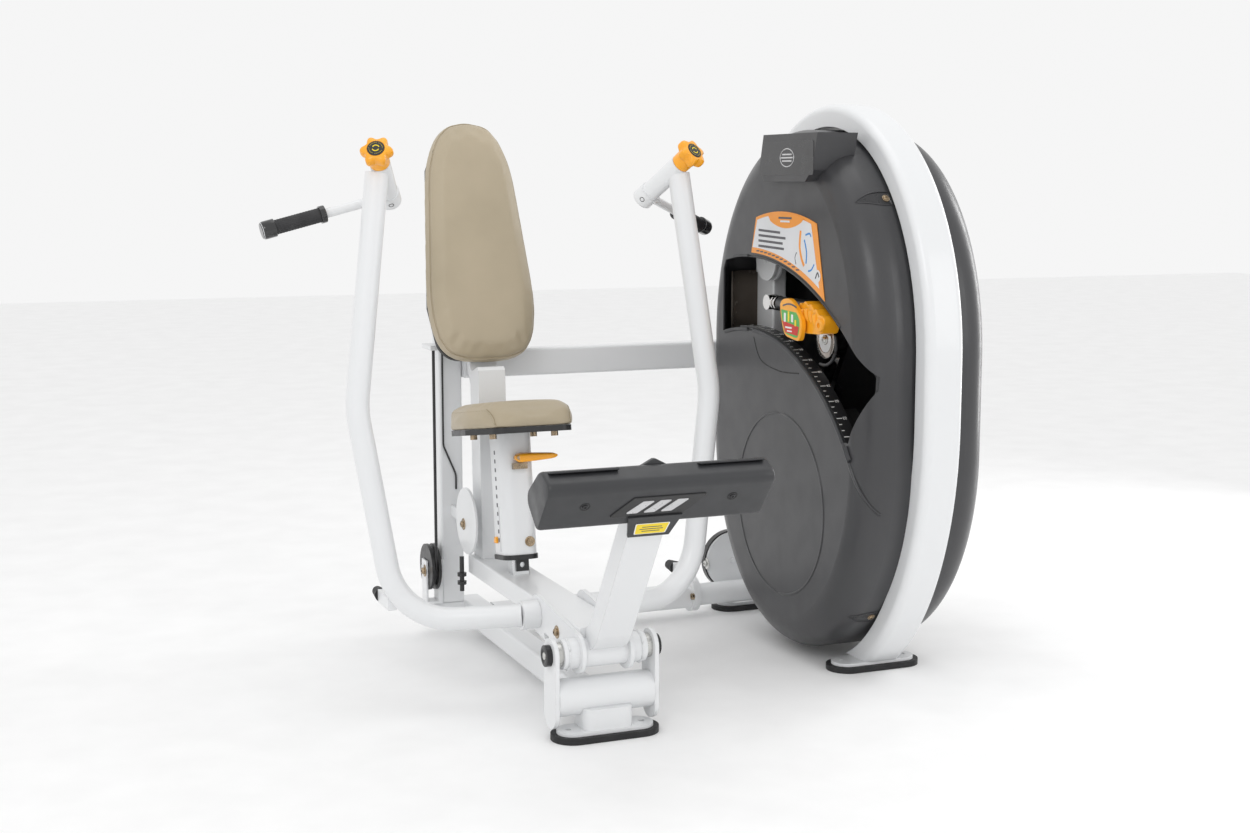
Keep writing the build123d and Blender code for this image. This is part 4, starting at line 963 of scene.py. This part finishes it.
def opening_trim():
    """Lips above and below the opening, the wall round its nose, the lining at its rear with painted
    reflection in its colour, and a flare.
    """
    lower = [dial_spot(LOWER_R, a).yz for a in range(-13, 53, 3)]
    upper = [dial_spot(UPPER_R, a).yz for a in range(35, -10, -3)]
    shell_bead("opening_lower_lip", [(p.x, p.y - 0.005) for p in lower], 0.0042, DARK_COVER, 1.3)
    shell_bead("opening_upper_lip", [(p.x, p.y + 0.0035) for p in upper], 0.003, DARK_COVER, 1.2)
    nose = [Vector((0.142, 0.62)), Vector((0.102, 0.69)), Vector((0.08, 0.732)), Vector((0.08, 0.77))]
    wall = []
    for p in nose + [dial_spot(UPPER_R, a).yz for a in (44, 42, 40)]:
        at_nose = p in nose
        inward = Vector((0.15, 0.72)) if at_nose else DIAL.yz
        step = (inward - p).normalized() * (0.03 if at_nose else 0.04)
        for x, t in ((0.712 if at_nose else 0.69, 0.0), (0.705, 0.35), (0.726, 1.0), (0.736, 1.02)):
            wall.append((x, p.x + step.x * t, p.y + step.y * t))
    sheet("opening_inner_wall", wall, 4, CHARCOAL, 0.0018)
    lining = []
    for i in range(9):
        turn = math.radians(-70 + 17.5 * i)
        lining.append((0.77 + 0.072 * math.sin(turn), 0.848 + 0.058 * math.cos(turn)))
    # the lining's brownish-grey colour is painted reflection on a dark glossy panel
    sheet("opening_rear_lining", [(x, y, z) for z in (0.8, 0.86, 0.92, 0.975) for x, y in lining], 9,
        LINING_PAINTED_REFLECTION, 0.0018)
    flare = curve_through([(0.16, 0.59), (0.146, 0.57), (0.137, 0.56)], 4)
    shell_bead("opening_flare", flare, 0.0075, DARK_COVER, 1.0, sink=0.002)


def header():
    """Face of the header box with a plain ring and three bars."""
    low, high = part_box("header_box")
    wide, tall = high.y - low.y, high.z - low.z
    face = Vector((low.x, high.y, low.z))
    plate("header_panel", box_outline(0.018, 0.016, wide - 0.018, tall - 0.018, 0.008), face, -Y, Z, 0.0012,
        HEADER, "frame", 0.0005)
    middle = face - Y * wide / 2 + Z * tall / 2 - X * 0.0011
    ring = [middle - Y * 0.036 * math.cos(math.radians(a)) + Z * 0.022 * math.sin(math.radians(a))
        for a in range(0, 360, 10)]
    sweep("header_emblem_ring", ring, 0.0014, SILVER, "frame", 6, True)
    for i, long in enumerate((0.05, 0.062, 0.05)):
        plate("header_emblem_bar_%d" % i, bar_outline(long, 0.0036, 0.0008),
            middle + Z * (0.008 - 0.008 * i), -Y, Z, 0.001, SILVER, "frame", 0.0002)


def fan(inset_by, foot=0.0, side=0.0):
    """Placard outline: straight sides, a bowed top and a lower edge that follows the dial."""
    def bow(y0, y1, centre_y, centre_z, radius):
        ys = [y0 + (y1 - y0) * i / 16 for i in range(17)]
        return [(y, centre_z + math.sqrt(radius ** 2 - (y - centre_y) ** 2)) for y in ys]

    return (bow(0.672 - inset_by, 0.272 + inset_by + side, DIAL.y, DIAL.z, 0.8535 + inset_by + foot)
        + bow(0.318 + inset_by + side, 0.646 - inset_by, 0.5, 0.51, 0.634 - inset_by))


def placard():
    """Instruction plate: orange border, pale field, bars for the lines and strokes for the figure."""
    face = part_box("placard")[0].x
    base = facing_side("placard_plate", fan(0.0005), face + 0.0018, 0.002, ORANGE, "frame", 0.0005)
    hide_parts("placard")

    def card(name, outline, look, lift):
        facing_side("placard_" + name, outline, face - lift, 0.0004, look, "frame")

    def stroke(name, line, radius, look, lift, flat):
        track = [Vector((face - lift, y, z)) for y, z in curve_through(line, 6)]
        sweep("placard_" + name, track, radius, look, "frame", 8, False, flat, X, slot="label")

    card("field", fan(0.009, 0.006, 0.018), PALE, 0.0004)
    dip = [(0.574 - 0.012 * i, 1.126 - 0.024 * math.sin(math.pi * i / 16) ** 0.7) for i in range(1, 16)]
    top = [(0.382, 1.128), (0.43, 1.136), (0.478, 1.138), (0.526, 1.137), (0.574, 1.131)]
    card("head", dip + top, ORANGE, 0.0007)
    for i, (y, wide, look) in enumerate(((0.516, 0.07, GREY_INK), (0.506, 0.05, PALE))):
        z = 1.1275 - 0.0085 * i
        card("head_bar_%d" % i, [(y, z - 0.0024), (y - wide, z - 0.0024), (y - wide, z + 0.0024),
            (y, z + 0.0024)], look, 0.0012)
    for i, wide in enumerate((0.12, 0.15, 0.135, 0.142)):
        y, z = 0.628, 1.094 - 0.0135 * i
        card("line_%d" % i, [(y, z - 0.003), (y - wide, z - 0.007), (y - wide, z - 0.001), (y, z + 0.003)],
            GREY_INK, 0.0008)
    for i in range(11):
        y = 0.64 - 0.022 * i
        z = DIAL.z + math.sqrt(0.8605 ** 2 - (y - DIAL.y) ** 2)
        card("foot_bar_%d" % i, [(y, z - 0.0018), (y - 0.016, z - 0.0012), (y - 0.016, z + 0.0022),
            (y, z + 0.0018)], GREY_INK, 0.0006)
    strokes = [([(0.398, 1.098), (0.402, 1.06), (0.392, 1.03), (0.378, 1.012)], 0.0048, ORANGE),
        ([(0.372, 1.088), (0.352, 1.092), (0.344, 1.084)], 0.0024, BLUE_INK),
        ([(0.378, 1.076), (0.366, 1.046), (0.368, 1.018)], 0.003, BLUE_INK),
        ([(0.356, 1.0), (0.34, 1.004), (0.326, 1.018)], 0.0024, BLUE_INK),
        ([(0.418, 1.044), (0.426, 1.03), (0.42, 1.014)], 0.0016, GREY_INK)]
    for i, (line, radius, look) in enumerate(strokes):
        stroke("stroke_%d" % i, line, radius, look, 0.0008, 0.25)
    lathe("placard_badge", [(0.0, 0.0), (0.0155, 0.0), (0.0155, 0.0004), (0.0, 0.0006)],
        (face - 0.0006, 0.309, 0.99), -X, PALE, "frame", 32)
    stroke("badge_mark", [(0.318, 0.984), (0.308, 0.998), (0.3, 0.988)], 0.0024, GREY_INK, 0.0013, 0.3)


# ------------------------------------------------------------------ selector
def selector_grip():
    """Finger grip with four finger ridges and a round boss."""
    low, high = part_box("selector_carriage")
    grip_x = low.x + 0.02
    outline = curve_through([(0.372, 0.862), (0.374, 0.9), (0.37, 0.921), (0.356, 0.918), (0.344, 0.927),
        (0.328, 0.919), (0.314, 0.922), (0.3, 0.91), (0.286, 0.911), (0.274, 0.899), (0.256, 0.897),
        (0.243, 0.886), (0.25, 0.866), (0.262, 0.853), (0.3, 0.85), (0.34, 0.849), (0.362, 0.85),
        (0.372, 0.862)], 5)[:-1]
    grip = facing_side("selector_grip", outline, high.x, high.x - grip_x, YELLOW, "selector", 0.0075)
    grip.modifiers["edge"].segments = 5
    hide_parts("selector_carriage")
    ridge = ((0.006, 0.004, 0.018), (0.0012, 0.001, 0.008), (0, 0, 0), (0.0012, -0.002, -0.01),
        (0.006, -0.003, -0.02))
    for i, (y, z) in enumerate(((0.354, 0.898), (0.333, 0.9), (0.312, 0.897), (0.291, 0.889))):
        tip = Vector((grip_x - 0.0002, y, z))
        sweep("selector_finger_%d" % i, [tip + Vector(p) for p in ridge], 0.0068, YELLOW, "selector")
    lathe("selector_grip_boss", [(0.0, 0.0), (0.0165, 0.0), (0.0165, 0.006), (0.015, 0.0085),
        (0.007, 0.0088), (0.0066, 0.005), (0.0, 0.005)], (grip_x + 0.003, 0.262, 0.874), -X, YELLOW,
        "selector", 36)


def selector_paddle():
    """Thumb paddle with a colour label of plain patches."""
    low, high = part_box("selector_paddle")
    edge = curve_through([(0.441, 0.915), (0.428, 0.927), (0.396, 0.931), (0.372, 0.922), (0.352, 0.906),
        (0.331, 0.886), (0.326, 0.866), (0.334, 0.838), (0.346, 0.83), (0.38, 0.833), (0.41, 0.839),
        (0.424, 0.856), (0.436, 0.886), (0.441, 0.915)], 5)[:-1]
    paddle = facing_side("selector_thumb_paddle", edge, high.x, high.x - low.x, YELLOW, "paddle", 0.0045)
    paddle.modifiers["edge"].segments = 4
    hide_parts("selector_paddle")
    middle = Vector((0.387, 0.882))

    def sticker(name, points, look, lift):
        shrunk = [tuple(middle + (Vector(p) - middle) * 0.86) for p in points]
        facing_side("selector_label_" + name, shrunk, low.x + 0.0002 - lift, 0.0004, look, "paddle")

    sticker("green", [p for p in edge if p[1] < 0.906], GREEN_INK, 0.0)
    sticker("red", [(0.432, 0.874), (0.33, 0.862), (0.338, 0.836), (0.412, 0.841)], RED_INK, 0.0004)
    patches = ((0.415, 0.884, 0.012, 0.026, WHITE_INK), (0.392, 0.888, 0.01, 0.03, YELLOW_INK),
        (0.37, 0.884, 0.012, 0.022, WHITE_INK), (0.35, 0.872, 0.01, 0.018, YELLOW_INK),
        (0.392, 0.856, 0.04, 0.005, WHITE_INK), (0.386, 0.846, 0.03, 0.004, WHITE_INK))
    for i, (y, z, wide, tall, look) in enumerate(patches):
        patch = [(y - u, z + v) for u, v in bar_outline(wide, tall, 0.0015)]
        sticker("part_%d" % i, patch, look, 0.0008)
    arc = [Vector((low.x, 0.424 - 0.006 * i, 0.912 + 0.006 * math.sin(math.pi * i / 12)))
        for i in range(13)]
    sweep("selector_label_arc", arc, 0.0022, GREY_INK, "paddle", 8, False, 0.3, X)


def selector_slide():
    """Face of the pivot boss with its bolt, a short hose, and the sleeve and rings of the slide rod."""
    boss = Vector((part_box("selector_arm")[0].x, 0.321, 0.833))
    lathe("selector_boss_face", [(0.0, 0.0), (0.012, 0.0), (0.014, -0.002), (0.03, -0.002), (0.032, 0.0005),
        (0.044, 0.0005), (0.046, -0.001), (0.046, -0.004)], boss - X * 0.0006, -X, DARK_CHROME, "selector",
        64)
    route = curve_through([(0.262, 0.846), (0.258, 0.815), (0.276, 0.786), (0.306, 0.772), (0.336, 0.772)],
        6)
    sweep("selector_hose", [Vector((boss.x - 0.004, y, z)) for y, z in route], 0.0042, BLACK, "selector",
        10, slot="black_rubber")
    bolt("selector_boss_bolt", boss - X * 0.001, -X, 0.008, "selector", 1.5, ZINC, 0.5)
    slide_x, slide_z, bore = 0.708, 0.905, 0.0128
    lathe("selector_slide_sleeve", [(bore, 0.0), (0.0172, 0.0), (0.018, 0.003), (0.018, 0.19),
        (0.0165, 0.194), (bore, 0.194)], (slide_x, 0.392, slide_z), Y, BLACK, "selector", 40)
    for i, y in enumerate((0.384, 0.59, 0.606)):
        ring = [(bore, 0.0), (0.019, 0.0), (0.0198, 0.002), (0.019, 0.006), (bore, 0.006)]
        lathe("selector_slide_ring_%d" % i, ring, (slide_x, y, slide_z), Y, CHROME, "selector", 40)


# ------------------------------------------------------------------ frame and seat hardware
def on_skin(name, start, direction):
    """Place where a ray from outside meets a CAD piece, or None."""
    hit, place, _, _ = NODES[name].ray_cast(Vector(start), direction)
    return place if hit else None


def hardware():
    """Bolts of the side plates and pulleys, and the caps on the pivot shaft's ends."""
    for x, side in SIDES:
        for k, (y, z) in enumerate(((0.338, 0.211), (0.18, 0.206))):
            place = on_skin(side + "_side_plate", (x * 0.3, y, z), -X * x)
            if place:
                bolt("%s_plate_bolt_%d" % (side, k), place, X * x, 0.0085, "rocker", 1.75, BRONZE)
    for name, node, start, outward, size, look in (("guard_bolt", "pulley_guard", (-0.3, 0.862, 0.33), -X,
            0.0085, BRONZE), ("pulley_bolt", "pulley_yoke", (-0.3, 1.005, 0.181), -X, 0.009, BRONZE),
            ("disc_bolt", "disc_cover", (0.5, 0.968, 0.139), -X, 0.009, ZINC)):
        place = on_skin(node, start, X)
        if place:
            bolt(name, place, outward, size, "frame", 1.8, look)
    low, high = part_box("pivot_shaft")
    for side, name in SIDES:
        spot = Vector((low.x if side < 0 else high.x, (low.y + high.y) / 2, (low.z + high.z) / 2))
        lathe("pivot_cap_" + name, [(0.0, -0.001), (0.0235, -0.001), (0.024, 0.0005), (0.0225, 0.0022),
            (0.0165, 0.003), (0.015, 0.0018), (0.0, 0.0016)], spot - X * side * 0.0016, X * side, BLACK,
            "frame", 48)
        lathe("pivot_centre_" + name, [(0.0, 0.0), (0.0085, 0.0), (0.008, 0.0012), (0.0, 0.0014)], spot,
            X * side, ZINC, "frame", 32)


def release_lever():
    """Rounded yellow paddle that thins toward its root."""
    low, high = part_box("release_lever")
    middle = (low + high) / 2
    wide, tall = (high.y - low.y) / 2, (high.z - low.z) / 2
    points, rows, count = [], 15, 28
    for i in range(rows):
        t = i / (rows - 1)
        swell = 0.45 + 0.55 * math.sqrt(max(0.0, 1 - (abs(2 * t - 1)) ** 7))
        high_r = tall * (0.98 - 0.5 * t ** 1.2) * swell
        deep_r = wide * (0.98 - 0.25 * t) * swell
        for k in range(count):
            turn = 2 * math.pi * k / count
            c, n = math.cos(turn), math.sin(turn)
            points.append((low.x + (high.x - low.x) * t,
                middle.y + deep_r * math.copysign(abs(c) ** 0.55, c),
                middle.z + tall * 0.12 * t + high_r * math.copysign(abs(n) ** 0.7, n)))
    handle = piece("release_paddle", points, ring_faces(rows, count), YELLOW, "seat_lever")
    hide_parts("release_lever")


def seat_details():
    """Marks down the post, the pointer, and the plain label on the leaning column."""
    for i in range(11):
        spot = seat_at(0, 0, 0) + SEAT_UP * (0.085 + 0.022 * i)
        place = on_skin("seat_carriage", spot - X * 0.3 + SEAT_BACKWARD * 0.012, X)
        if place:
            plate("seat_post_mark_%d" % i, bar_outline(0.0084, 0.01, 0.0018), place - X * 0.0001,
                -SEAT_BACKWARD, SEAT_UP, 0.0004, GREY_INK, "seat", 0.0, slot="scale_strip")
    place = on_skin("seat_carriage", seat_at(-0.3, 0.03, 0.085), X)
    if place:
        tab = rounded([(-0.011, -0.008), (0.011, -0.008), (0.011, 0.008), (-0.004, 0.008)], 0.003)
        plate("seat_pointer", tab, place - X * 0.0002, -SEAT_BACKWARD, SEAT_UP, 0.006, YELLOW, "seat",
            0.0018)
    place = on_skin("back_column", (-0.3, 0.735, 0.262), X)
    if place:
        plate("column_label", bar_outline(0.032, 0.052, 0.003), place, -Y, Z, 0.0006, PALE, "rocker",
            0.0002)
        for i, half in enumerate((0.011, 0.009, 0.0115, 0.007, 0.01)):
            line = [(-0.012, -0.0012), (-0.012 + 2 * half, -0.0012), (-0.012 + 2 * half, 0.0012),
                (-0.012, 0.0012)]
            plate("column_label_line_%d" % i, line, place - X * 0.0005 + Z * (0.016 - 0.0085 * i), -Y, Z,
                0.0003, GREY_INK, "rocker", 0.0)


def welds():
    """Painted weld beads round the rocker's hub."""
    low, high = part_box("rocker_hub")
    middle = (low + high) / 2
    for k, x in enumerate((low.x + 0.012, high.x - 0.012)):
        weld("hub_weld_%d" % k, (x, middle.y, middle.z), X, (high.z - low.z) / 2 + 0.0005, "rocker", 0.003)


# ------------------------------------------------------------------ build
camera()
studio()
dress_nodes()
foot_bar()
knobs()
grips()
tower_lines()
screw_pockets()
dial_marks()
opening_trim()
header()
placard()
selector_grip()
selector_paddle()
selector_slide()
hardware()
release_lever()
seat_details()
welds()
back_pad()
seat_pad()
